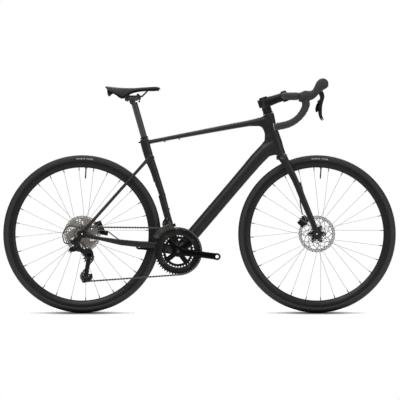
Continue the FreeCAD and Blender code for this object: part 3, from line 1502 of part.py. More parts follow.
# ---------------------------------------------------------------- cranks


def crank_arm(way, side, inner_y, outer_y):
    """An arm from the spindle to the pedal eye, slightly bowed outward."""
    length = val("crank_length")
    up = V(-way.z, 0, way.x)
    mid = (inner_y + outer_y) / 2
    stations = [
        (0, 0, 17.5, 8.0), (35, 0.8, 16.0, 7.0), (90, 2.5, 14.2, 6.2), (140, 4.0, 13.8, 6.0),
        (length, 5.0, 14.5, 6.0),
    ]
    wires = [
        superoval(bb + way * s + Y * side * (mid + o), up, Y, half, thick, 3.0)
        for s, o, half, thick in stations
    ]
    arm = one_solid(loft(wires))
    eye_c = bb + way * length + Y * side * (mid + 5.0)
    boss_c = bb + Y * side * mid
    eye = rod(eye_c - Y * 6.0, eye_c + Y * 6.0, 15.4)
    boss = rod(boss_c - Y * 8.0, boss_c + Y * 8.0, 18.5)
    return arm.multiFuse([eye, boss]), eye_c


ARM_IN, ARM_OUT = 55.5, 70.0
right_arm, right_eye = crank_arm(crank_way, -1, ARM_IN, ARM_OUT)
left_arm, left_eye = crank_arm(crank_way * -1, 1, ARM_IN - 6, ARM_OUT - 6)
pedal_bore = val("pedal_thread_r")


def crank_right_shape():
    """Right arm, clamped on the spindle's outer end."""
    tools = [
        rod(bb - Y * 54, bb - Y * 60.3, val("spindle_r") + 0.02),
        rod(bb - Y * 54, bb - Y * 80, val("spindle_r") - 2.5),
        rod(right_eye - Y * 20, right_eye + Y * 20, pedal_bore),
    ]
    return one_solid(right_arm.cut(tools).removeSplitter())


def crank_spider_shape():
    """The four-armed spider and its hub on the spindle that carries both arms."""
    spider_at = (ring_y + val("ring_in_y")) / 2
    half = 2.15
    spider = []
    for k in range(4):
        turn = math.radians(45 + 90 * k) - crank_fall
        way = V(math.cos(turn), 0, math.sin(turn))
        across = V(-way.z, 0, way.x)
        spider.append(block(bb + way * 35 + Y * (spider_at - 3.0), (way, Y, across), (33, half + 0.2, 11)))
        spider.append(block(bb + way * 62 + Y * spider_at, (way, Y, across), (21.5, half, 8.0)))
    hub = rod(bb - Y * 44.6, bb - Y * 54.4, 24)
    spindle = rod(bb - Y * 60, bb + Y * 60, val("spindle_r"))
    whole = hub.multiFuse(spider + [spindle])
    tools = [
        rod(bb - Y * 80, bb + Y * 65, val("spindle_r") - 2.5),
        rod(bb - Y * (ring_y * -1 - 6.1), bb, 60).cut(rod(bb - Y * 60, bb + Y * 10, val("spindle_r"))),
    ]
    for k in range(4):
        turn = math.radians(45 + 90 * k) - crank_fall
        at = bb + V(math.cos(turn), 0, math.sin(turn)) * 70
        tools.append(rod(at - Y * 60, at - Y * 30, 3.2))
    return one_solid(whole.cut(tools).removeSplitter())


def crank_left_shape():
    """Left arm, clamped on the spindle's end."""
    hole = rod(bb + Y * 44, bb + Y * 61, val("spindle_r") + 0.02)
    eye = rod(left_eye - Y * 20, left_eye + Y * 20, pedal_bore)
    inner = rod(bb + Y * 44.6, bb + Y * 52, 16.5)
    return one_solid(left_arm.fuse(inner).cut([hole, eye]).removeSplitter())


feature("crank_right", crank_right_shape())
feature("crank_spider", crank_spider_shape())
feature("crank_left", crank_left_shape())

# ---------------------------------------------------------------- derailleurs


def fd_bracket_shape():
    """The band round the seat tube with the arm that carries the cage's pivot."""
    centre = on_seat(-398, 3)
    outer = rod(centre - seat_up * 7, centre + seat_up * 7, 24)
    hollow = loft([
        superoval(on_seat(-398 + d, 3.0), Y, seat_ahead, 18.9, 16.2, 2.4) for d in (-10, 10)
    ])
    band = outer.cut(hollow)
    arm = block(centre + V(-14, -23.5, 2), (seat_ahead, Y, seat_up), (7, 4.5, 6))
    return band, arm


FD_AXIS_AT = V(-140.0, -31.5, 384.0)


def fd_parts():
    band, arm = fd_bracket_shape()
    hub = rod(FD_AXIS_AT - V(11, 0, 0), FD_AXIS_AT + V(11, 0, 0), 5.0)
    pin = rod(FD_AXIS_AT - V(22, 0, 0), FD_AXIS_AT + V(22, 0, 0), 2.0)
    bridge = block(FD_AXIS_AT + V(0, 3.5, -3), (V(1, 0, 0), Y, V(0, 0, 1)), (10, 5.5, 7))
    return one_solid(band.multiFuse([arm, hub, pin, bridge]).removeSplitter())


def arc_plate(centre, r_in, r_out, a0, a1, y, half):
    """A flat plate bounded by two arcs about centre, from angle a0 to a1."""
    steps = 12
    turns = [math.radians(a0 + (a1 - a0) * i / steps) for i in range(steps + 1)]
    outer = [(centre.x + r_out * math.cos(t), centre.z + r_out * math.sin(t)) for t in turns]
    inner = [(centre.x + r_in * math.cos(t), centre.z + r_in * math.sin(t)) for t in reversed(turns)]
    return plate(outer + inner, y, half)


def fd_cage_shape():
    """Two plates either side of the chain's top run, a bridge over it and the link up to the pivot."""
    outer = arc_plate(bb, 108.6, 126.0, 101, 149, ring_y - 7.0, 0.7)
    inner = arc_plate(bb, 92.0, 126.0, 104, 146, ring_y + 5.1, 0.6)
    over = arc_plate(bb, 118.5, 126.0, 100.5, 113, ring_y - 1.0, 6.6)
    tail = arc_plate(bb, 118.5, 122.5, 142.5, 145.5, ring_y - 1.0, 6.6)
    arms = [
        block(V(FD_AXIS_AT.x + s * 16.5, -38.5, 384.5), (V(1, 0, 0), Y, V(0, 0, 1)), (3.5, 12.0, 4.8))
        for s in (-1, 1)
    ]
    legs = [
        block(V(FD_AXIS_AT.x + s * 16.5, -44.5, 380.6), (V(1, 0, 0), Y, V(0, 0, 1)), (3.5, 2.6, 7))
        for s in (-1, 1)
    ]
    holes = rod(FD_AXIS_AT - V(30, 0, 0), FD_AXIS_AT + V(30, 0, 0), 2.05)
    return one_solid(outer.multiFuse([inner, over, tail] + arms + legs).cut(holes).removeSplitter())


feature("front_derailleur_bracket", fd_parts())
feature("front_derailleur_cage", fd_cage_shape())

HANGER = V(val("hanger_x"), 0, val("hanger_z"))
LINK_FROM = V(-524.0, -67.0, 283.0)
link_way = V(0.80, 0, -0.60)
link_axis = V(0.60, 0, 0.80)
LINK_LENGTH = 38.0


def hanger_shape():
    """Frame hanger from the dropout to the derailleur bolt."""
    body = slab([(-508, 341), (-522, 318), (HANGER.x, HANGER.z)], -84.4, 3.2, 9.5)
    tools = [
        rod(V(-508, -95, 341), V(-508, -70, 341), val("axle_r") + 0.1),
        rod(V(HANGER.x, -95, HANGER.z), V(HANGER.x, -70, HANGER.z), 4.1),
    ]
    return one_solid(body.cut(tools).removeSplitter())


def in_link(a, y, b):
    """A point a along the link, b along its pivot axis and y across."""
    return LINK_FROM + link_way * a + link_axis * b + Y * y


def knuckle_shape():
    """The fixed knuckle: bolt through the hanger and the fork that holds the link's pin."""
    bolt_rod = rod(V(HANGER.x, -90.5, HANGER.z), V(HANGER.x, -74, HANGER.z), 4.0)
    boss = rod(V(HANGER.x, -80.8, HANGER.z), V(HANGER.x, -68, HANGER.z), 11)
    web = slab([(HANGER.x, HANGER.z), (-534.5, 297)], -72, 5.5, 7.0)
    ears = []
    for s in (-1, 1):
        ears.append(rod(in_link(0, 0, s * 15.4), in_link(0, 0, s * 11.4), 8))
    back = block(in_link(-12.5, -3.5, 0), (link_way, Y, link_axis), (3.6, 8, 15.4))
    side = [block(in_link(-6, 0, s * 13.4), (link_way, Y, link_axis), (8, 6.5, 2.0)) for s in (-1, 1)]
    pin = rod(in_link(0, 0, -15.4), in_link(0, 0, 15.4), 2.0)
    head = rod(V(HANGER.x, -93.5, HANGER.z), V(HANGER.x, -88.0, HANGER.z), 6.5)
    return one_solid(boss.multiFuse([bolt_rod, head, web, back, pin] + ears + side).removeSplitter())


def links_shape():
    """The swinging link between the two knuckles."""
    body = slab_in_link([(0, 0), (LINK_LENGTH, 0)], 10.9, 6.6)
    holes = [rod(in_link(a, 0, -30), in_link(a, 0, 30), 2.05) for a in (0, LINK_LENGTH)]
    return one_solid(body.cut(holes).removeSplitter())


def slab_in_link(line, half, r):
    """A bar square to the pivot axis: its ends round about the two pins."""
    a, b = [in_link(p[0], p[1], 0) for p in line]
    body = block((a + b) / 2, (link_way, Y, link_axis), ((b - a).Length / 2, r, half))
    ends = [rod(p - link_axis * half, p + link_axis * half, r) for p in (a, b)]
    return body.multiFuse(ends)


def p_knuckle_shape():
    """The moving knuckle: fork round the link's lower pin and the sprung hub of the cage."""
    parts = []
    for s in (-1, 1):
        parts.append(rod(in_link(LINK_LENGTH, 0, s * 15.4), in_link(LINK_LENGTH, 0, s * 11.4), 7.5))
        parts.append(block(in_link(LINK_LENGTH + 7, 0, s * 13.4), (link_way, Y, link_axis), (7, 6.5, 2.0)))
    parts.append(block(in_link(LINK_LENGTH + 12.6, 0, 0), (link_way, Y, link_axis), (3.4, 6.5, 15.4)))
    parts.append(rod(in_link(LINK_LENGTH, 0, -15.4), in_link(LINK_LENGTH, 0, 15.4), 2.0))
    hub = rod(V(cage_axis.x, -75.0, cage_axis.z), V(cage_axis.x, drive_y - 7.4, cage_axis.z), 12.5)
    pin = rod(V(cage_axis.x, -70, cage_axis.z), V(cage_axis.x, drive_y - 4.6, cage_axis.z), 4.0)
    return one_solid(hub.multiFuse(parts + [pin]).removeSplitter())


def rd_cage_shape():
    """Two plates with the pulleys between them, on pins."""
    line = [(cage_axis.x, cage_axis.z), (tension.x, tension.z)]
    outer = slab(line, drive_y - 5.9, 0.9, 9.5)
    head = Part.makeCylinder(13.2, 1.8, V(cage_axis.x, drive_y - 6.8, cage_axis.z), Y)
    guide_lug = Part.makeCylinder(8, 1.8, V(guide.x, drive_y - 6.8, guide.z), Y)
    inner = slab([(guide.x, guide.z), (cage_axis.x - 3, cage_axis.z - 30), (tension.x, tension.z)],
                 drive_y + 5.6, 0.9, 8.0)
    pins = [
        rod(V(p.x, drive_y - 6.8, p.z), V(p.x, drive_y + 6.5, p.z), 3.0) for p in (guide, tension)
    ]
    shape = outer.multiFuse([head, guide_lug, inner] + pins)
    hole = rod(V(cage_axis.x, -80, cage_axis.z), V(cage_axis.x, drive_y - 4.6, cage_axis.z), 4.05)
    return one_solid(shape.cut(hole).removeSplitter())


feature("derailleur_hanger", hanger_shape())
feature("rear_derailleur_knuckle", knuckle_shape())
feature("rear_derailleur_link", links_shape())
feature("rear_derailleur_hub", p_knuckle_shape())
feature("rear_derailleur_cage", rd_cage_shape())
feature("shift_housing", swept(shift_line, 2.5))

# ---------------------------------------------------------------- checks and files

NODES = [
    "frame", "derailleur_hanger", "seat_clamp", "frame_bearings", "rear_thru_axle", "rear_brake_caliper",
    "rear_brake_pads", "bottle_bolts", "front_derailleur_bracket", "rear_derailleur_knuckle", "shift_housing",
    "rear_brake_hose", "chain", "seatpost", "saddle_clamp", "saddle_rails", "saddle_shell", "saddle_cover",
    "fork", "stem", "stem_faceplate", "headset_spacers", "stem_bolts", "handlebar", "bar_tape",
    "bar_end_plugs", "brake_hood_right", "brake_hood_left", "front_thru_axle", "front_brake_caliper",
    "front_brake_pads", "front_brake_hose", "brake_lever_right", "brake_lever_left", "shift_paddle_right",
    "shift_paddle_left", "front_tyre", "front_rim", "front_hub", "front_spokes", "front_rotor", "front_valve",
    "rear_tyre", "rear_rim", "rear_hub", "rear_spokes", "rear_rotor", "rear_valve", "cassette", "crank_spider",
    "crank_right", "crank_left", "chainring_outer", "chainring_inner", "front_derailleur_cage",
    "rear_derailleur_link", "rear_derailleur_hub", "rear_derailleur_cage", "guide_pulley", "tension_pulley",
]


def check_and_write():
    doc.recompute()
    os.makedirs("parts", exist_ok=True)
    for obj in doc.Objects:
        if "Invalid" in obj.State or "Error" in obj.State:
            raise RuntimeError(f"{obj.Label} did not compute: {obj.State}")
    for name in NODES:
        obj = doc.getObjectsByLabel(name)[0]
        if obj.Shape.isNull() or not obj.Shape.isValid():
            raise RuntimeError(f"{name} has no sound shape")
        obj.Shape.exportStep(f"parts/{name}.step")
    print(f"{len(NODES)} parts; chain of {chain_links} links, cage at {math.degrees(cage_turn):.2f} degrees")
    for name, path, r in (
        ("rear_brake_hose", rear_hose_line, 2.5), ("front_brake_hose", front_hose_line, 2.5),
        ("shift_housing", shift_line, 2.5),
    ):
        volume = doc.getObjectsByLabel(name)[0].Shape.Volume
        arcs = [e.Curve.Radius for e in path.Edges if hasattr(e.Curve, "Radius")]
        even = math.pi * r * r * path.Length
        bends = [round(radius) for radius in arcs]
        print(f"{name}: {path.Length:.1f} long, {volume:.0f} against {even:.0f}, bends {bends}")


check_and_write()
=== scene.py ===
import itertools
import json
import math

import bmesh
import bpy
from mathutils import Matrix, Vector, noise

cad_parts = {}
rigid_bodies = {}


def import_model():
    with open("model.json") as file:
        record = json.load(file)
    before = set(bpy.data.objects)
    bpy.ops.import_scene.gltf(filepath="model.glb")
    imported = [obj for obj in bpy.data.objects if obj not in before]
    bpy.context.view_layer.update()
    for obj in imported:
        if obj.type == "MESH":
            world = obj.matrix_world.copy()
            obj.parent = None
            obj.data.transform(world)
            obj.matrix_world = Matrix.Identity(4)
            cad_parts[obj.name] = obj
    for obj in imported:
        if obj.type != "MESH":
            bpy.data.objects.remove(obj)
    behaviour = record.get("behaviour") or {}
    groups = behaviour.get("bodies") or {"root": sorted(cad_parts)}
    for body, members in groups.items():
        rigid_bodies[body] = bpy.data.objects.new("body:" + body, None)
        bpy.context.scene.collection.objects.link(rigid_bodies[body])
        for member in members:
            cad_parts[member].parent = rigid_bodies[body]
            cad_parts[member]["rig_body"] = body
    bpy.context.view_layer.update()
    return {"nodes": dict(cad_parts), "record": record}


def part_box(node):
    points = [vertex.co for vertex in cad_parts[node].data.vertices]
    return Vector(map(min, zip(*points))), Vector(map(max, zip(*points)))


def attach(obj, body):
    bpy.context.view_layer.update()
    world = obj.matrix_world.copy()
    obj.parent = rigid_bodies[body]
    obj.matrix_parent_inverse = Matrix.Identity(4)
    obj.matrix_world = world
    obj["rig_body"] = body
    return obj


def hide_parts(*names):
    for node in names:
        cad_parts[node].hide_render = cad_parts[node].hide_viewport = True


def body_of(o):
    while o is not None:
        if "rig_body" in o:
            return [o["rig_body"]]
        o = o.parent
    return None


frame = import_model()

NODES = frame["nodes"]
JOINTS = {j["name"]: j for j in frame["record"]["behaviour"]["joints"]}
MM = 0.001
HARD_EDGE = math.radians(34)
FLAT_ANGLE = math.radians(0.8)
BUMP_DEPTH = 0.0002

# ---------------------------------------------------------------- materials


def link(tree, a, b):
    """Join one shader socket to another."""
    tree.links.new(a, b)


def srgb(text):
    """Linear colour from a hex colour."""
    out = []
    for i in (0, 2, 4):
        c = int(text[i:i + 2], 16) / 255
        out.append(c / 12.92 if c <= 0.04045 else ((c + 0.055) / 1.055) ** 2.4)
    return (*out, 1.0)


def material(name, light, dark, grain=400.0, rough=(0.3, 0.45), metallic=0.0, bump=0.0, bump_scale=3000.0,
             coat=0.0, coat_rough=0.1, sheen=0.0, wear=None, gleam=0.5):
    """A surface whose colour, roughness and bump all vary with noise fixed to the object."""
    mat = bpy.data.materials.new(name)
    mat.use_nodes = True
    tree = mat.node_tree
    nodes = tree.nodes
    shader = nodes["Principled BSDF"]
    shader.inputs["Metallic"].default_value = metallic
    shader.inputs["Specular IOR Level"].default_value = gleam
    shader.inputs["Coat Weight"].default_value = coat
    shader.inputs["Coat Roughness"].default_value = coat_rough
    shader.inputs["Sheen Weight"].default_value = sheen
    coords = nodes.new("ShaderNodeTexCoord")
    cloud = nodes.new("ShaderNodeTexNoise")
    cloud.inputs["Scale"].default_value = grain
    cloud.inputs["Detail"].default_value = 6.0
    link(tree, coords.outputs["Object"], cloud.inputs["Vector"])
    ramp = nodes.new("ShaderNodeValToRGB")
    ramp.color_ramp.elements[0].position = 0.35
    ramp.color_ramp.elements[0].color = srgb(dark)
    ramp.color_ramp.elements[1].position = 0.68
    ramp.color_ramp.elements[1].color = srgb(light)
    link(tree, cloud.outputs["Fac"], ramp.inputs["Fac"])
    colour = ramp.outputs["Color"]
    spread = nodes.new("ShaderNodeMapRange")
    spread.inputs["From Min"].default_value = 0.3
    spread.inputs["From Max"].default_value = 0.7
    spread.inputs["To Min"].default_value = rough[0]
    spread.inputs["To Max"].default_value = rough[1]
    link(tree, cloud.outputs["Fac"], spread.inputs["Value"])
    link(tree, spread.outputs["Result"], shader.inputs["Roughness"])
    if wear:
        edge = nodes.new("ShaderNodeNewGeometry")
        pick = nodes.new("ShaderNodeMapRange")
        pick.inputs["From Min"].default_value = 0.53
        pick.inputs["From Max"].default_value = 0.62
        link(tree, edge.outputs["Pointiness"], pick.inputs["Value"])
        mix = nodes.new("ShaderNodeMix")
        mix.data_type = "RGBA"
        link(tree, pick.outputs["Result"], mix.inputs["Factor"])
        link(tree, colour, mix.inputs["A"])
        mix.inputs["B"].default_value = srgb(wear)
        colour = mix.outputs["Result"]
    link(tree, colour, shader.inputs["Base Color"])
    if bump:
        fine = nodes.new("ShaderNodeTexNoise")
        fine.inputs["Scale"].default_value = bump_scale
        fine.inputs["Detail"].default_value = 3.0
        link(tree, coords.outputs["Object"], fine.inputs["Vector"])
        lift = nodes.new("ShaderNodeBump")
        lift.inputs["Strength"].default_value = bump
        lift.inputs["Distance"].default_value = BUMP_DEPTH
        link(tree, fine.outputs["Fac"], lift.inputs["Height"])
        link(tree, lift.outputs["Normal"], shader.inputs["Normal"])
    return mat


MATERIALS = {
    "paint": material("frame_satin_paint", "191817", "151413", grain=45, rough=(0.36, 0.44), coat=0.05,
                      coat_rough=0.28, bump=0.04, bump_scale=2200, gleam=0.28),
    "alloy": material("black_anodised", "121213", "0e0e0f", grain=120, rough=(0.36, 0.46), metallic=0.35,
                      bump=0.06, bump_scale=6000, wear="2c2c2d", gleam=0.3),
    "gloss": material("gloss_black", "060607", "040404", grain=60, rough=(0.16, 0.24), coat=0.02,
                      coat_rough=0.1, gleam=0.08),
    "mech": material("mech_gloss", "101011", "0b0b0c", grain=80, rough=(0.2, 0.3), coat=0.1, gleam=0.4),
    "post": material("seatpost_satin", "2c2c2c", "262626", grain=60, rough=(0.3, 0.4), bump=0.04, gleam=0.6),
    "hose": material("hose_jacket", "141416", "0f0f11", grain=900, rough=(0.4, 0.5), bump=0.1,
                     bump_scale=4000),
    "chain": material("chain_steel", "5b5853", "45433f", grain=260, rough=(0.3, 0.42), metallic=0.6,
                      bump=0.06),
    "rail": material("rail_steel", "3c3d42", "323338", grain=200, rough=(0.28, 0.38), metallic=0.8),
    "shell": material("nylon_shell", "131417", "0f1012", grain=500, rough=(0.5, 0.62), bump=0.15,
                      bump_scale=5000),
    "leather": material("saddle_skin", "0f1012", "0b0c0e", grain=240, rough=(0.56, 0.68), bump=0.3,
                        bump_scale=1900, gleam=0.22),
    "tape": material("bar_tape_foam", "1d1e20", "18191b", grain=400, rough=(0.58, 0.72), bump=0.45,
                     bump_scale=1500, sheen=0.08),
    "plug": material("plug_plastic", "8b8b86", "7c7c78", grain=300, rough=(0.3, 0.4)),
    "hood": material("hood_rubber", "1a1b1d", "151618", grain=300, rough=(0.55, 0.68), bump=0.25,
                     bump_scale=2600),
    "tyre": material("tyre_rubber", "161617", "121213", grain=90, rough=(0.6, 0.72), bump=0.2,
                     bump_scale=1600),
    "rim": material("rim_satin", "101011", "0d0d0e", grain=60, rough=(0.34, 0.44), metallic=0.2, bump=0.04,
                    gleam=0.35),
    "spoke": material("spoke_steel", "8d8d90", "7f7f82", grain=500, rough=(0.3, 0.42), metallic=0.5),
    "rotor": material("rotor_steel", "8f8b86", "7e7b76", grain=90, rough=(0.26, 0.38), metallic=0.6,
                      bump=0.05),
    "cassette": material("cassette_nickel", "a29c94", "8b867f", grain=90, rough=(0.28, 0.4), metallic=0.55),
    "ring": material("ring_dark", "131314", "0f0f10", grain=90, rough=(0.22, 0.34), metallic=0.4,
                     wear="3a3a3a", gleam=0.25),
    "steel": material("bright_steel", "8a8986", "7b7a77", grain=120, rough=(0.22, 0.34), metallic=0.95),
    "cage": material("cage_plate", "55534f", "403e3b", grain=120, rough=(0.24, 0.36), metallic=0.8),
    "bolt": material("dark_bolt", "333335", "29292b", grain=300, rough=(0.28, 0.4), metallic=0.8,
                     wear="606060"),
    "pulley": material("pulley_nylon", "131315", "0f0f10", grain=300, rough=(0.4, 0.5), bump=0.1),
    "mark": material("pale_mark", "a5a5a0", "989893", grain=400, rough=(0.5, 0.6)),
    "nipple": material("nipple_black", "2a2a2c", "232325", grain=400, rough=(0.3, 0.4), metallic=0.7),
    "pad": material("pad_backing", "4a4743", "3e3b38", grain=300, rough=(0.5, 0.7), metallic=0.4, bump=0.2),
}

PAINTED = {
    "frame": "paint", "fork": "paint", "seatpost": "post",
    "derailleur_hanger": "alloy", "seat_clamp": "alloy", "frame_bearings": "steel", "rear_thru_axle": "alloy",
    "rear_brake_caliper": "alloy", "rear_brake_pads": "pad", "bottle_bolts": "bolt",
    "front_derailleur_bracket": "alloy", "rear_derailleur_knuckle": "mech", "shift_housing": "hose",
    "rear_brake_hose": "hose", "chain": "chain", "saddle_clamp": "alloy", "saddle_rails": "rail",
    "saddle_shell": "shell", "saddle_cover": "leather", "stem": "alloy", "stem_faceplate": "alloy",
    "headset_spacers": "alloy", "stem_bolts": "bolt", "handlebar": "alloy",
    "bar_tape": "tape", "bar_end_plugs": "plug", "brake_hood_right": "hood", "brake_hood_left": "hood",
    "front_thru_axle": "alloy", "front_brake_caliper": "alloy", "front_brake_pads": "pad",
    "front_brake_hose": "hose", "brake_lever_right": "alloy", "brake_lever_left": "alloy",
    "shift_paddle_right": "gloss", "shift_paddle_left": "gloss", "front_tyre": "tyre", "rear_tyre": "tyre",
    "front_rim": "rim", "rear_rim": "rim", "front_hub": "alloy", "rear_hub": "alloy", "front_spokes": "spoke",
    "rear_spokes": "spoke", "front_rotor": "rotor", "rear_rotor": "rotor", "front_valve": "bolt",
    "rear_valve": "bolt", "cassette": "cassette", "crank_right": "gloss", "crank_left": "gloss",
    "crank_spider": "gloss",
    "chainring_outer": "ring", "chainring_inner": "ring", "front_derailleur_cage": "cage",
    "rear_derailleur_link": "mech", "rear_derailleur_hub": "mech", "rear_derailleur_cage": "alloy",
    "guide_pulley": "pulley", "tension_pulley": "pulley",
}
for name, obj in NODES.items():
    obj.data.materials.clear()
    obj.data.materials.append(MATERIALS[PAINTED[name]])

# ---------------------------------------------------------------- helpers


def shown(name, mesh, body, mat, replaced=()):
    """A new piece from a finished mesh, riding on a body."""
    obj = bpy.data.objects.new(name, mesh)
    bpy.context.scene.collection.objects.link(obj)
    mesh.materials.clear()
    mesh.materials.append(MATERIALS[mat])
    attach(obj, body)
    if replaced:
        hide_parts(*replaced)
    return obj


def applied(obj):
    """The mesh of obj with its modifiers applied, and obj removed."""
    graph = bpy.context.evaluated_depsgraph_get()
    mesh = bpy.data.meshes.new_from_object(obj.evaluated_get(graph))
    bpy.data.objects.remove(obj)
    return mesh


def copy_of(node):
    """A loose copy of a CAD node, its doubled corners merged."""
    mesh = NODES[node].data.copy()
    bm = bmesh.new()
    bm.from_mesh(mesh)
    bmesh.ops.remove_doubles(bm, verts=bm.verts, dist=1e-6)
    bm.to_mesh(mesh)
    bm.free()
    obj = bpy.data.objects.new(f"copy_{node}", mesh)
    bpy.context.scene.collection.objects.link(obj)
    return obj


def blended(node, name, body, mat, voxel=0.0018, rounds=12, ratio=0.5, fillings=()):
    """A CAD node's skin with its junctions drawn into each other, as in moulded carbon.

    Each filling is the centre and the half sizes of an egg that fills a pit between two tubes.
    """
    obj = copy_of(node)
    bm = bmesh.new()
    bm.from_mesh(obj.data)
    for centre, half_sizes in fillings:
        egg = Matrix.Translation(centre) @ Matrix.Diagonal((*half_sizes, 1.0))
        bmesh.ops.create_icosphere(bm, subdivisions=4, radius=1.0, matrix=egg)
    bm.to_mesh(obj.data)
    bm.free()
    remesh = obj.modifiers.new("voxels", "REMESH")
    remesh.mode = "VOXEL"
    remesh.voxel_size = voxel
    mesh = applied(obj)
    bm = bmesh.new()
    bm.from_mesh(mesh)
    for _ in range(rounds):
        bmesh.ops.smooth_vert(bm, verts=bm.verts, factor=0.5,
                              use_axis_x=True, use_axis_y=True, use_axis_z=True)
    for f in bm.faces:
        f.smooth = True
    bm.to_mesh(mesh)
    bm.free()
    if ratio < 1:
        thin = bpy.data.objects.new("thin", mesh)
        bpy.context.scene.collection.objects.link(thin)
        cut = thin.modifiers.new("thin", "DECIMATE")
        cut.ratio = ratio
        mesh = applied(thin)
    return shown(name, mesh, body, mat, (node,))


def finished(name, bm, body, mat, replaced=(), sharp=32.0):
    """Write a bmesh out as a visible piece, smooth but for its hard edges."""
    bmesh.ops.recalc_face_normals(bm, faces=bm.faces)
    for f in bm.faces:
        f.smooth = True
    for e in bm.edges:
        if len(e.link_faces) != 2 or e.calc_face_angle(0) > math.radians(sharp):
            e.smooth = False
    mesh = bpy.data.meshes.new(name)
    bm.to_mesh(mesh)
    bm.free()
    return shown(name, mesh, body, mat, replaced)


def dressed(node, bevel=0.0, merge=True):
    """A CAD node's skin with its flats merged and its edges rounded."""
    obj = copy_of(node)
    bm = bmesh.new()
    bm.from_mesh(obj.data)
    if merge:
        bmesh.ops.dissolve_limit(bm, angle_limit=FLAT_ANGLE, verts=bm.verts, edges=bm.edges)
    bm.to_mesh(obj.data)
    bm.free()
    if bevel:
        mod = obj.modifiers.new("round", "BEVEL")
        mod.width = bevel * MM
        mod.segments = 2
        mod.limit_method = "ANGLE"
        mod.angle_limit = HARD_EDGE
    body = body_of(NODES[node])[0]
    mesh = applied(obj)
    bm = bmesh.new()
    bm.from_mesh(mesh)
    return finished(f"{node}_skin", bm, body, PAINTED[node], (node,))


def middle(node):
    """The centre of a CAD node's box."""
    low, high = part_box(node)
    return (Vector(low) + Vector(high)) / 2


def half_size(node):
    """Half of a CAD node's box along each axis."""
    low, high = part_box(node)
    return (Vector(high) - Vector(low)) / 2


def joint_at(name):
    """The point that a joint turns about."""
    return Vector(JOINTS[name]["pos_m"])


def turned(bm, profile, centre, count, shape):
    """A ring turned about Y through centre from (radius, y) points; shape(k, j) moves points outward."""
    rows = []
    for k in range(count):
        turn = 2 * math.pi * k / count
        row = []
        for j, (r, y) in enumerate(profile):
            r = r + shape(k, j)
            place = (centre.x + r * math.sin(turn), centre.y + y, centre.z + r * math.cos(turn))
            row.append(bm.verts.new(place))
        rows.append(row)
    for k in range(count):
        here, there = rows[k], rows[(k + 1) % count]
        for j in range(len(profile)):
            i = (j + 1) % len(profile)
            bm.faces.new((here[j], here[i], there[i], there[j]))


def cut_plate(bm, loops, y, thick):
    """A flat plate in XZ with holes: the first loop is the outline and the rest are holes."""
    edges = []
    for loop in loops:
        verts = [bm.verts.new((x, y - thick / 2, z)) for x, z in loop]
        edges += [bm.edges.new((verts[i], verts[(i + 1) % len(verts)])) for i in range(len(verts))]
    filled = bmesh.ops.triangle_fill(bm, edges=edges, use_beauty=True)
    faces = [f for f in filled["geom"] if isinstance(f, bmesh.types.BMFace)]
    raised = bmesh.ops.extrude_face_region(bm, geom=faces)
    tops = [v for v in raised["geom"] if isinstance(v, bmesh.types.BMVert)]
    bmesh.ops.translate(bm, vec=(0, thick, 0), verts=tops)


def tube_along(bm, points, radius, sides):
    """A closed round tube through points; radius is a function of (index, angle)."""
    rows = []
    up = Vector((0, 0, 1))
    last = None
    for k, p in enumerate(points):
        a = points[max(k - 1, 0)]
        b = points[min(k + 1, len(points) - 1)]
        way = (b - a).normalized()
        if last is None:
            side = way.cross(up if abs(way.z) < 0.9 else Vector((1, 0, 0))).normalized()
        else:
            side = (last - way * last.dot(way)).normalized()
        last = side
        other = way.cross(side)
        row = []
        for i in range(sides):
            turn = 2 * math.pi * i / sides
            r = radius(k, turn)
            row.append(bm.verts.new(p + (side * math.cos(turn) + other * math.sin(turn)) * r))
        rows.append(row)
    for k in range(len(rows) - 1):
        for i in range(sides):
            j = (i + 1) % sides
            bm.faces.new((rows[k][i], rows[k][j], rows[k + 1][j], rows[k + 1][i]))
    bm.faces.new(rows[0][::-1])
    bm.faces.new(rows[-1])


def stepped(radii):
    """A radius for tube_along that changes from point to point."""
    return lambda k, turn: radii[k]


def disc_at(bm, centre, way, radius, height, sides=24, top=0.85):
    """A low round head standing on centre along way, its rim eased."""
    way = way.normalized()
    side = way.cross(Vector((0, 0, 1)) if abs(way.z) < 0.9 else Vector((1, 0, 0))).normalized()
    other = way.cross(side)
    rows = []
    for r, h in ((radius, 0), (radius, height * 0.7), (radius * top, height)):
        rows.append([
            bm.verts.new(centre + way * h + (side * math.cos(t) + other * math.sin(t)) * r)
            for t in (2 * math.pi * i / sides for i in range(sides))
        ])
    for a, b in zip(rows, rows[1:]):
        for i in range(sides):
            j = (i + 1) % sides
            bm.faces.new((a[i], a[j], b[j], b[i]))
    bm.faces.new(rows[0][::-1])
    bm.faces.new(rows[-1])


# ---------------------------------------------------------------- frame and fork

HEAD_PIT = ((0.302, 0, 0.757), (0.021, 0.0178, 0.034))
blended("frame", "frame_skin", "frame", "paint", fillings=(HEAD_PIT,))
blended("fork", "fork_skin", "steering", "paint")

# ---------------------------------------------------------------- wheels

DASH_LENGTHS = (5, 3, 4, 5, 2, 5, 3, 4, 2.4, 5, 4)
DASH_WORD = 6
DASH_START = -4.2
DASH_GAP, WORD_GAP = 0.42, 0.9
DASH_RADIUS = 325
DEGREES_PER_MM = 57.3 / DASH_RADIUS


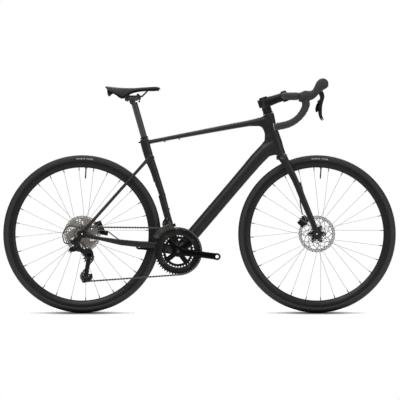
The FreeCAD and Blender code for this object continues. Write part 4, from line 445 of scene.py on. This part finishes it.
def tyre(node, body):
    """Road tyre: slick crown, slanted shoulder cuts, a rib on each wall, and two words of pale dashes."""
    centre, half = middle(node), half_size(node)
    wall = half.y - 0.0002
    middle_r = half.x - wall - 0.0002
    steps = 44
    start, stop = math.radians(-40), math.radians(220)
    profile, angles = [], []
    for j in range(steps + 1):
        a = start + (stop - start) * j / steps
        angles.append(math.degrees(a))
        profile.append((middle_r + wall * math.sin(a), wall * math.cos(a)))
    low_r = middle_r + wall * math.sin(start)
    profile += [(low_r, -wall * 0.5), (low_r, wall * 0.5)]
    count = 600

    def shape(k, j):
        """How far a point lies outside the round section, by its angle from the crown."""
        crown, cut, block, groove, rib = 0.0002, -0.00055, 0.0001, -0.0003, 0.0002
        if j >= len(angles):
            return 0.0
        a = abs(angles[j] - 90)
        if a < 26:
            return crown
        if 30 < a < 54:
            slant = int(k + a * 0.16) % 5
            return cut if slant == 0 else block
        if 54 <= a < 58:
            return groove
        if 84 < a < 90:
            return rib
        return 0.0

    bm = bmesh.new()
    turned(bm, profile, centre, count, shape)
    finished(f"{node}_skin", bm, body, "tyre", (node,), sharp=50)
    bm = bmesh.new()
    for side in (-1, 1):
        at = DASH_START
        for word in (DASH_LENGTHS[:DASH_WORD], DASH_LENGTHS[DASH_WORD:]):
            for size in word:
                width = size * DEGREES_PER_MM
                pale_dash(bm, centre, middle_r, wall, side, at, at + width)
                at += width + DASH_GAP
            at += WORD_GAP
    finished(f"{node}_marks", bm, body, "mark")


def pale_dash(bm, centre, middle_r, wall, side, a, b):
    """One raised dash on a tyre's wall between two angles from the top."""
    rows = []
    inward, outward = 0.0028, 0.0022
    for lift in (0.00005, 0.00035):
        corners = []
        for turn in (a, b):
            t = math.radians(turn) * (1 if side < 0 else -1)
            for r in (middle_r - inward, middle_r + outward):
                d = r - middle_r
                y = math.sqrt(max(wall ** 2 - d ** 2, 0)) + lift
                place = (centre.x + r * math.sin(t), centre.y + side * y, centre.z + r * math.cos(t))
                corners.append(bm.verts.new(place))
        rows.append((corners[0], corners[1], corners[3], corners[2]))
    low, high = rows
    bm.faces.new(low)
    bm.faces.new(high)
    for i in range(4):
        j = (i + 1) % 4
        bm.faces.new((low[i], low[j], high[j], high[i]))


END_CORNERS = 6
SPOKE_RADII = (0.00105, 0.00105, 0.0008, 0.0008, 0.00095)
NIPPLE_RADII = (0.0014, 0.0019, 0.0019)


def spokes(node, body):
    """Thin drawn spokes between the hub and the rim, each with its nipple."""
    bm = bmesh.new()
    bm.from_mesh(copy_mesh(node))
    left = set(bm.verts)
    centre = middle(node)
    runs = []
    while left:
        seed = left.pop()
        group, edge = {seed}, [seed]
        while edge:
            v = edge.pop()
            for e in v.link_edges:
                o = e.other_vert(v)
                if o not in group:
                    group.add(o)
                    edge.append(o)
        left -= group
        far = sorted(group, key=lambda v: math.hypot(v.co.x - centre.x, v.co.z - centre.z))
        near = sum((v.co for v in far[:END_CORNERS]), Vector()) / END_CORNERS
        away = sum((v.co for v in far[-END_CORNERS:]), Vector()) / END_CORNERS
        runs.append((near, away))
    bm.free()
    bm = bmesh.new()
    nipples = bmesh.new()
    for near, away in runs:
        way = (away - near).normalized()
        points = [near, near + way * 0.012, near + way * 0.022, away - way * 0.024, away - way * 0.012]
        tube_along(bm, points, stepped(SPOKE_RADII), sides=10)
        tip = [away - way * 0.0135, away - way * 0.011, away]
        tube_along(nipples, tip, stepped(NIPPLE_RADII), sides=8)
    finished(f"{node}_skin", bm, body, "spoke", (node,))
    finished(f"{node}_nipples", nipples, body, "nipple")


def copy_mesh(node):
    """A loose copy of a CAD node's mesh, without its object."""
    obj = copy_of(node)
    mesh = obj.data
    bpy.data.objects.remove(obj)
    return mesh


def ring_points(centre, r, count):
    """The (x, z) points of a circle about centre."""
    points = []
    for k in range(count):
        t = 2 * math.pi * k / count
        points.append((centre.x + r * math.cos(t), centre.z + r * math.sin(t)))
    return points


def holed_track(bm, centre, inner, outer, y, thick):
    """A flat ring cut by three rows of slanted slots, drawn on a grid that leans with them."""
    cells, across = 18, 16
    around = 36 * cells
    holes = {}
    for line, first, last in ((2, 1, 4), (3, 1, 5), (4, 1, 5), (5, 1, 5), (6, 2, 5),
                              (7, 8, 11), (8, 7, 11), (9, 7, 11), (10, 7, 11), (11, 8, 10),
                              (11, 14, 16), (12, 13, 16), (13, 13, 16), (14, 14, 16)):
        holes.setdefault(line, []).append((first, last))
    rows = []
    for j in range(across + 1):
        r = inner + (outer - inner) * j / across
        row = []
        for k in range(around):
            t = 2 * math.pi * k / around + 0.10 * j / across
            q = r + (0.0006 * math.cos(24 * t) if j == across else 0.0)
            place = (centre.x + q * math.cos(t), y - thick / 2, centre.z + q * math.sin(t))
            row.append(bm.verts.new(place))
        rows.append(row)
    faces = []
    for j in range(across):
        for k in range(around):
            if any(a <= k % cells <= b for a, b in holes.get(j, ())):
                continue
            n = (k + 1) % around
            faces.append(bm.faces.new((rows[j][k], rows[j][n], rows[j + 1][n], rows[j + 1][k])))
    raised = bmesh.ops.extrude_face_region(bm, geom=faces)
    tops = [v for v in raised["geom"] if isinstance(v, bmesh.types.BMVert)]
    bmesh.ops.translate(bm, vec=(0, thick, 0), verts=tops)


def swirl(centre, r0, r1, t0, sweep, w0, w1, steps=10):
    """The outline of a curved arm from r0 to r1, turning by sweep degrees as it goes out."""
    one, two = [], []
    for i in range(steps + 1):
        f = i / steps
        r = r0 + (r1 - r0) * f
        t = math.radians(t0 + sweep * f)
        w = (w0 + (w1 - w0) * f) / r
        one.append((centre.x + r * math.cos(t + w), centre.z + r * math.sin(t + w)))
        two.append((centre.x + r * math.cos(t - w), centre.z + r * math.sin(t - w)))
    return one + two[::-1]


def rotor(node, body):
    """Slotted steel track on swirled arms, a black star-shaped carrier and its lock ring."""
    centre, half = middle(node), half_size(node)
    outer = half.x - 0.0008
    arm_end = outer - 0.0125
    bm = bmesh.new()
    holed_track(bm, centre, outer - 0.0135, outer, centre.y, 0.0018)
    for k in range(12):
        main = swirl(centre, 0.038, arm_end, k * 30, 36, 0.0022, 0.0020)
        brace = swirl(centre, 0.050, arm_end, k * 30 + 14, -18, 0.0016, 0.0018)
        cut_plate(bm, [main], centre.y, 0.0017)
        cut_plate(bm, [brace], centre.y, 0.0016)
    cut_plate(bm, [ring_points(centre, 0.0400, 96), ring_points(centre, 0.0375, 96)], centre.y, 0.0017)
    finished(f"{node}_track", bm, body, "rotor", (node,), sharp=25)
    bm = bmesh.new()
    star = []
    for k in range(180):
        t = 2 * math.pi * k / 180
        r = 0.0335 + 0.0085 * max(0.0, math.cos(6 * t)) ** 1.4 - 0.003 * max(0.0, -math.cos(6 * t))
        star.append((centre.x + r * math.cos(t), centre.z + r * math.sin(t)))
    loops = [star, ring_points(centre, 0.0178, 72)]
    for k in range(6):
        t = 2 * math.pi * (k + 0.5) / 6
        at = Vector((centre.x + 0.0255 * math.cos(t), 0, centre.z + 0.0255 * math.sin(t)))
        loops.append(ring_points(at, 0.0034, 20))
    cut_plate(bm, loops, centre.y, 0.0030)
    finished(f"{node}_spider", bm, body, "alloy", sharp=25)
    bm = bmesh.new()
    out = 1 if centre.y > 0 else -1
    for k in range(12):
        t = 2 * math.pi * k / 12
        at = Vector((centre.x + 0.0395 * math.cos(t), centre.y, centre.z + 0.0395 * math.sin(t)))
        for side in (-1, 1):
            disc_at(bm, at + Vector((0, side * 0.0008, 0)), Vector((0, side, 0)), 0.0022, 0.0010, 14)
    ring = [ring_points(centre, 0.0200, 72), ring_points(centre, 0.0150, 72)]
    cut_plate(bm, ring, centre.y + out * 0.0021, 0.0016)
    for k in range(24):
        tooth = swirl(centre, 0.0160, 0.0198, k * 15, 0, 0.0007, 0.0009, 2)
        cut_plate(bm, [tooth], centre.y + out * 0.0026, 0.0022)
    finished(f"{node}_lockring", bm, body, "bolt", sharp=25)


def caliper_trim(node):
    """Piston caps and mounting bolts on a caliper."""
    body = body_of(NODES[node])[0]
    centre, half = middle(node), half_size(node)
    bm = bmesh.new()
    for side in (-1, 1):
        face = Vector((centre.x - 0.002, centre.y + side * (half.y - 0.0012), centre.z + 0.002))
        disc_at(bm, face, Vector((0, side, 0)), 0.0092, 0.0016, 32)
        disc_at(bm, face + Vector((0, side * 0.0014, 0)), Vector((0, side, 0)), 0.0048, 0.0008, 6, 0.95)
    finished(f"{node}_caps", bm, body, "alloy")
    bm = bmesh.new()
    for dx, dz in ((-0.55, 0.45), (0.6, -0.5)):
        at = centre + Vector((dx * half.x, 0, dz * half.z))
        disc_at(bm, at, Vector((0, -1, 0)), 0.0036, half.y - 0.0002, 20, 0.9)
    finished(f"{node}_bolts", bm, body, "bolt")


for end in ("front", "rear"):
    wheel = f"{end}_wheel"
    tyre(f"{end}_tyre", wheel)
    dressed(f"{end}_rim")
    spokes(f"{end}_spokes", wheel)
    rotor(f"{end}_rotor", wheel)
    dressed(f"{end}_hub", 0.35)
    dressed(f"{end}_thru_axle", 0.3)
    dressed(f"{end}_valve")
    blended(f"{end}_brake_caliper", f"{end}_brake_caliper_skin", body_of(NODES[f"{end}_brake_caliper"])[0],
            "alloy", voxel=0.0009, rounds=7, ratio=0.5)
    caliper_trim(f"{end}_brake_caliper")

# ---------------------------------------------------------------- drive

for node, bevel in (
    ("crank_right", 0.9), ("crank_left", 0.9), ("crank_spider", 0.5), ("chainring_outer", 0.0),
    ("chainring_inner", 0.0), ("cassette", 0.0), ("chain", 0.0), ("derailleur_hanger", 0.5),
    ("rear_derailleur_cage", 0.5), ("guide_pulley", 0.2), ("tension_pulley", 0.2),
    ("front_derailleur_bracket", 0.6), ("front_derailleur_cage", 0.4), ("seat_clamp", 0.5),
    ("seatpost", 0.4), ("saddle_clamp", 0.5), ("saddle_shell", 0.0), ("saddle_rails", 0.0),
    ("stem", 1.1), ("stem_faceplate", 0.6), ("stem_bolts", 0.3), ("headset_spacers", 0.4),
    ("handlebar", 0.3), ("bar_end_plugs", 0.5), ("bottle_bolts", 0.3), ("brake_lever_right", 1.6),
    ("brake_lever_left", 1.6), ("shift_paddle_right", 1.0), ("shift_paddle_left", 1.0),
):
    dressed(node, bevel, merge=node not in ("chain", "cassette"))


RING_BOLT_CIRCLE = 0.079
ARM_END_RADIUS = 0.0154


def drive_trim():
    """Caps and bolt heads on the crank, the rings and the rear derailleur."""
    out = Vector((0, -1, 0))
    axis = joint_at("crank_spin")
    arm_low, arm_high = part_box("crank_right")
    ring_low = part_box("chainring_outer")[0]
    bm = bmesh.new()
    face = arm_low[1]
    disc_at(bm, Vector((axis.x, face + 0.0022, axis.z)), out, 0.0150, 0.0018, 40, 0.93)
    finished("crank_cap", bm, "cranks", "gloss")
    bm = bmesh.new()
    disc_at(bm, Vector((axis.x, face + 0.0006, axis.z)), out, 0.0060, 0.0008, 8, 0.9)
    turn0 = math.atan2((arm_low[2] + ARM_END_RADIUS) - axis.z, (arm_high[0] - ARM_END_RADIUS) - axis.x)
    for k in range(4):
        turn = turn0 + math.radians(45 + 90 * k)
        at = Vector((axis.x + RING_BOLT_CIRCLE * math.cos(turn), ring_low[1] + 0.0004,
                     axis.z + RING_BOLT_CIRCLE * math.sin(turn)))
        disc_at(bm, at, out, 0.0048, 0.0022, 24, 0.82)
    finished("chainring_bolts", bm, "cranks", "bolt")
    cage_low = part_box("rear_derailleur_cage")[0]
    bm = bmesh.new()
    for name in ("guide_spin", "tension_spin"):
        at = joint_at(name)
        disc_at(bm, Vector((at.x, cage_low[1] + 0.0004, at.z)), out, 0.0040, 0.0016, 20, 0.8)
    finished("cage_bolts", bm, "rear_cage", "bolt")
    hub_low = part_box("rear_derailleur_hub")[0]
    at = joint_at("cage_swing")
    bm = bmesh.new()
    disc_at(bm, Vector((at.x, hub_low[1] + 0.0006, at.z)), out, 0.0105, 0.0020, 36, 0.85)
    finished("knuckle_cap", bm, "rear_hub_knuckle", "gloss")
    bm = bmesh.new()
    way = Vector((0.6, 0, 0.8))
    for s in (-1, 1):
        disc_at(bm, joint_at("rear_shift_swing") + way * s * 0.0078, way * s, 0.0042, 0.0022, 20, 0.8)
    finished("knuckle_pins", bm, "frame", "bolt")


drive_trim()

for node in ("rear_derailleur_knuckle", "rear_derailleur_link", "rear_derailleur_hub"):
    blended(node, f"{node}_skin", body_of(NODES[node])[0], "mech", voxel=0.0008, rounds=4, ratio=0.5)


def eased(bm, width, segments=2):
    """Round every hard edge of a bmesh."""
    edges = [e for e in bm.edges if len(e.link_faces) == 2 and e.calc_face_angle(0) > math.radians(50)]
    bmesh.ops.bevel(bm, geom=edges, offset=width, segments=segments, affect="EDGES", profile=0.5,
                    clamp_overlap=True)


def rounded_outline(points):
    """A closed smooth line through corner points (quadratic, through the mid-points)."""
    out = []
    n, steps = len(points), 6
    for i in range(n):
        a, b, c = (Vector(points[(i + d) % n]) for d in (0, 1, 2))
        p, q = (a + b) / 2, (b + c) / 2
        for k in range(steps):
            t = k / steps
            m = p.lerp(b, t).lerp(b.lerp(q, t), t)
            out.append((m.x, m.y))
    return out


def outline_about(pivot, corners):
    """A closed smooth line round a pivot, from corners in millimetres."""
    return rounded_outline([(pivot.x + x * MM, pivot.z + z * MM) for x, z in corners])


def derailleur_trim():
    """The rear derailleur's S-shaped outer cage plate, its knuckle's body, screws and adjuster."""
    axis, tail = joint_at("cage_swing"), joint_at("tension_spin")
    cage_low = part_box("rear_derailleur_cage")[0]
    plate = [(19.5, 4.3), (22.5, -13), (9.5, -38.9), (4.5, -56.2), (12.2, -77.9), (15.2, -95.2),
             (8.7, -110.3), (-13, -118.9), (-31.1, -121.1), (-34.6, -108.1), (-21.6, -82.2), (-12, -58.4),
             (-3.3, -36.8), (-8.6, -17.3), (-15.1, -4.3), (-12, 10), (4, 17)]
    loops = [outline_about(axis, plate)]
    for x, z, r in ((13, 5, 4.2), (11, -9, 3.8), (-6, -14, 4.2), (-13, -20, 3.0), (-8, 11, 4.4)):
        at = Vector((tail.x + x * MM, 0, tail.z + z * MM))
        loops.append(ring_points(at, r * MM, 20))
    bm = bmesh.new()
    cut_plate(bm, loops, cage_low[1] - 0.0004, 0.0022)
    eased(bm, 0.0004)
    finished("cage_outer_plate", bm, "rear_cage", "mech")
    hub_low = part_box("rear_derailleur_hub")[0]
    bm = bmesh.new()
    body = [(-15, -9), (4, -14), (17, -7), (19, 8), (12, 24), (-2, 31), (-14, 24), (-18, 6)]
    y0, y1 = hub_low[1] + 0.0002, hub_low[1] + 0.0085
    cut_plate(bm, [outline_about(axis, body)], (y0 + y1) / 2, y1 - y0)
    eased(bm, 0.0022, 3)
    finished("knuckle_body", bm, "rear_hub_knuckle", "mech")
    pivot = joint_at("rear_shift_swing")
    bm = bmesh.new()
    lug = [(-42, -4), (-24, 4), (-8, 2), (-4, -14), (-22, -20), (-36, -18)]
    cut_plate(bm, [outline_about(pivot, lug)], pivot.y - 0.004, 0.009)
    eased(bm, 0.002, 3)
    finished("adjuster_lug", bm, "frame", "alloy")
    bm = bmesh.new()
    for dx, dz in ((-37, -13), (-30, -18)):
        at = Vector((pivot.x + dx * MM, pivot.y - 0.004, pivot.z + dz * MM))
        disc_at(bm, at, Vector((-0.5, 0, -0.6)), 0.0026, 0.0075, 18, 0.9)
    finished("limit_screws", bm, "frame", "bolt")


derailleur_trim()


def front_derailleur_trim():
    """The front derailleur's body and its screws, on the seat tube's bracket."""
    pivot = joint_at("front_shift_swing")
    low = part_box("front_derailleur_bracket")[0]
    bm = bmesh.new()
    shape = [(-19, -5), (-2, -8), (17, -2), (22, 12), (12, 27), (-4, 31), (-14, 20), (-21, 8)]
    cut_plate(bm, [outline_about(pivot, shape)], low[1] - 0.0022, 0.0080)
    eased(bm, 0.0020, 3)
    finished("front_mech_body", bm, "frame", "mech")
    bm = bmesh.new()
    for x, z, r in ((-12, 4, 3.0), (10, 8, 3.4), (0, 22, 2.6)):
        at = Vector((pivot.x + x * MM, low[1] - 0.0060, pivot.z + z * MM))
        disc_at(bm, at, Vector((0, -1, 0)), r * MM, 0.0016, 20, 0.8)
    finished("front_mech_screws", bm, "frame", "steel")


front_derailleur_trim()

# ---------------------------------------------------------------- saddle, hoods and tape

BAR_REACH, CLAMP_RADIUS = 0.1049, 0.0159
TAPE_FROM, TAPE_STEP, TAPE_WIDTH = 0.066, 0.0015, 0.0215
TAPE_RADIUS, TAPE_LAP = 0.01405, 0.00105
BAND_RADII = (0.0124, 0.0128, 0.0156, 0.0153)


def bar_points(side):
    """The bar's middle line from the tape's start to the bar's end, at even steps."""
    low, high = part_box("handlebar")
    x0, z0 = high[0] - BAR_REACH, high[2] - CLAMP_RADIUS
    half = middle("brake_lever_left").y
    points = []
    bend, flat, hook_r, drop_r = 0.048, 0.011, 0.034, 0.125
    hook_turn, fall = math.radians(20), math.radians(78.7)
    y = TAPE_FROM
    while y < half - bend:
        points.append(Vector((x0, y, z0)))
        y += TAPE_STEP
    for i in range(41):
        t = math.pi / 2 * i / 40
        points.append(Vector((x0 + bend - bend * math.cos(t), half - bend + bend * math.sin(t), z0)))
    for i in range(1, 8):
        points.append(Vector((x0 + bend + flat * i / 7, half, z0)))
    hook = Vector((x0 + bend + flat, half, z0 - hook_r))
    for i in range(1, 41):
        t = math.pi / 2 - (math.pi / 2 + hook_turn) * i / 40
        points.append(hook + Vector((math.cos(t), 0, math.sin(t))) * hook_r)
    drop = points[-1] - Vector((math.cos(hook_turn), 0, -math.sin(hook_turn))) * drop_r
    for i in range(1, 81):
        t = hook_turn + (fall - hook_turn) * i / 80
        points.append(drop + Vector((math.cos(t), 0, -math.sin(t))) * drop_r)
    way = Vector((-math.sin(fall), 0, -math.cos(fall)))
    run = (points[-1].x - low[0]) / math.sin(fall) - 0.0015
    points += [points[-1] + way * run * i / 20 for i in range(1, 21)]
    even, left = [points[0]], TAPE_STEP
    for a, b in zip(points, points[1:]):
        gone = 0.0
        length = (b - a).length
        while length - gone >= left:
            gone += left
            even.append(a + (b - a) * (gone / length))
            left = TAPE_STEP
        left -= length - gone
    return [Vector((p.x, p.y * side, p.z)) for p in even], x0, z0


def wrapped(bm, points, start, side):
    """Tape wound along points: each turn laps over the one before it."""

    def lap(k, turn):
        """The tape's outside: it rises along each turn and steps down at the turn's edge."""
        phase = ((start + k * TAPE_STEP) / TAPE_WIDTH + side * turn / (2 * math.pi)) % 1.0
        edge = 0.00075 * (1 - phase / 0.1) if phase < 0.1 else 0.0
        return TAPE_RADIUS + TAPE_LAP * phase - edge * 0.2 + 0.0001 * noise.noise(points[k] * 160)

    tube_along(bm, points, lap, sides=44)


for label, side in (("right", -1), ("left", 1)):
    line, x0, z0 = bar_points(side)
    upper = [p for p in line if p.x < x0 + 0.060 and p.z > z0 - 0.004]
    lower = [p for p in line if p.z <= z0 - 0.017]
    bm = bmesh.new()
    wrapped(bm, upper, 0.0, side)
    wrapped(bm, lower, 0.011, side)
    finished(f"bar_tape_{label}_wrap", bm, "steering", "tape", ("bar_tape",), sharp=40)
    bm = bmesh.new()
    band = [line[0] + Vector((0, side * d, 0)) for d in (-0.0135, -0.0130, 0.0045, 0.0050)]
    tube_along(bm, band, stepped(BAND_RADII), sides=40)
    finished(f"bar_tape_{label}_band", bm, "steering", "gloss")

for side in ("right", "left"):
    blended(f"brake_hood_{side}", f"brake_hood_{side}_skin", "steering", "hood", voxel=0.0013, rounds=8,
            ratio=0.7)
cover = blended("saddle_cover", "saddle_cover_skin", "seat", "leather", voxel=0.0022,
                rounds=6, ratio=0.8)

# ---------------------------------------------------------------- floor, light, camera


FLOOR_CORNERS = ((-2.6, -1.4), (2.6, -1.4), (2.6, 1.8), (-2.6, 1.8))
# Painted contact shadows: each is its reach along X, its reach across Y and the brightness left in its
# middle.
SHADES = ((0.31, 1.0, 0.35), (0.18, 0.45, 0.04))


def floor():
    """A white floor with a soft shadow painted into its colour round each tyre's contact.

    Each shade is its reach along X and across Y, and the brightness left in its middle.
    """
    mesh = bpy.data.meshes.new("floor")
    bm = bmesh.new()
    corners = [bm.verts.new((x, y, -0.0005)) for x, y in FLOOR_CORNERS]
    bm.faces.new(corners)
    bm.to_mesh(mesh)
    bm.free()
    obj = bpy.data.objects.new("floor", mesh)
    bpy.context.scene.collection.objects.link(obj)
    mat = material("floor_painted_shadow", "ffffff", "fdfdfd", grain=2, rough=(0.85, 0.95))
    tree = mat.node_tree
    shader = tree.nodes["Principled BSDF"]
    shader.inputs["Specular IOR Level"].default_value = 0.0
    shade = shader.inputs["Base Color"].links[0].from_socket
    coords = tree.nodes.new("ShaderNodeTexCoord")
    wheels = ("front_wheel_spin", "rear_wheel_spin")
    # Painted shadow: each tyre's contact multiplies the floor's colour by a soft oval that darkens towards
    # its middle.
    for name, (along, across, darkest) in itertools.product(wheels, SHADES):
        at = JOINTS[name]["pos_m"]
        move = tree.nodes.new("ShaderNodeMapping")
        move.inputs["Location"].default_value = (-at[0] / along, 0, 0)
        move.inputs["Scale"].default_value = (1 / along, 1 / across, 1)
        link(tree, coords.outputs["Object"], move.inputs["Vector"])
        fall = tree.nodes.new("ShaderNodeTexGradient")
        fall.gradient_type = "SPHERICAL"
        link(tree, move.outputs["Vector"], fall.inputs["Vector"])
        soft = tree.nodes.new("ShaderNodeMapRange")
        soft.interpolation_type = "SMOOTHSTEP"
        soft.inputs["To Min"].default_value = 1.0
        soft.inputs["To Max"].default_value = darkest
        soft.inputs["From Max"].default_value = 0.8
        link(tree, fall.outputs["Fac"], soft.inputs["Value"])
        mix = tree.nodes.new("ShaderNodeMix")
        mix.data_type = "RGBA"
        mix.blend_type = "MULTIPLY"
        mix.inputs["Factor"].default_value = 1.0
        link(tree, shade, mix.inputs["A"])
        link(tree, soft.outputs["Result"], mix.inputs["B"])
        shade = mix.outputs["Result"]
    link(tree, shade, shader.inputs["Base Color"])
    mesh.materials.append(mat)


def lamp(name, place, aim, size, power):
    """An area lamp at a place, aimed at a point."""
    data = bpy.data.lights.new(name, "AREA")
    data.shape = "RECTANGLE"
    data.size, data.size_y = size
    data.energy = power
    obj = bpy.data.objects.new(name, data)
    obj.location = place
    obj.rotation_euler = (Vector(aim) - Vector(place)).to_track_quat("-Z", "Y").to_euler()
    bpy.context.scene.collection.objects.link(obj)


def studio():
    """A pale world that is white to the camera."""
    world = bpy.data.worlds.new("studio")
    bpy.context.scene.world = world
    world.use_nodes = True
    tree = world.node_tree
    background = tree.nodes["Background"]
    background.inputs["Color"].default_value = (1, 1, 1, 1)
    rays = tree.nodes.new("ShaderNodeLightPath")
    level = tree.nodes.new("ShaderNodeMapRange")
    level.inputs["To Min"].default_value = 0.33
    level.inputs["To Max"].default_value = 1.0
    link(tree, rays.outputs["Is Camera Ray"], level.inputs["Value"])
    link(tree, level.outputs["Result"], background.inputs["Strength"])


DISTANCE, SPAN, EYE_X, EYE_Z = 38.0, 1.730, 0.0022, 0.488


def photo_camera():
    """A far camera square to the drive side, with SPAN metres across the picture."""
    data = bpy.data.cameras.new("camera")
    data.lens = data.sensor_width / SPAN * DISTANCE
    data.clip_end = 200
    camera = bpy.data.objects.new("camera", data)
    camera.location = (EYE_X, -DISTANCE, EYE_Z)
    camera.rotation_euler = (math.radians(90), 0, 0)
    bpy.context.scene.collection.objects.link(camera)
    bpy.context.scene.camera = camera


floor()
lamp("key", (-1.2, -3.2, 3.2), (0, 0, 0.5), (3.0, 2.0), 95)
lamp("fill", (2.6, -2.6, 1.6), (0, 0, 0.5), (2.0, 2.0), 35)
lamp("rim", (0.5, 3.0, 2.6), (0, 0, 0.6), (3.0, 1.5), 60)
lamp("top", (0, 0.4, 4.2), (0, 0.2, 0), (4.5, 3.0), 110)
studio()
photo_camera()
bpy.context.scene.view_settings.view_transform = "Standard"
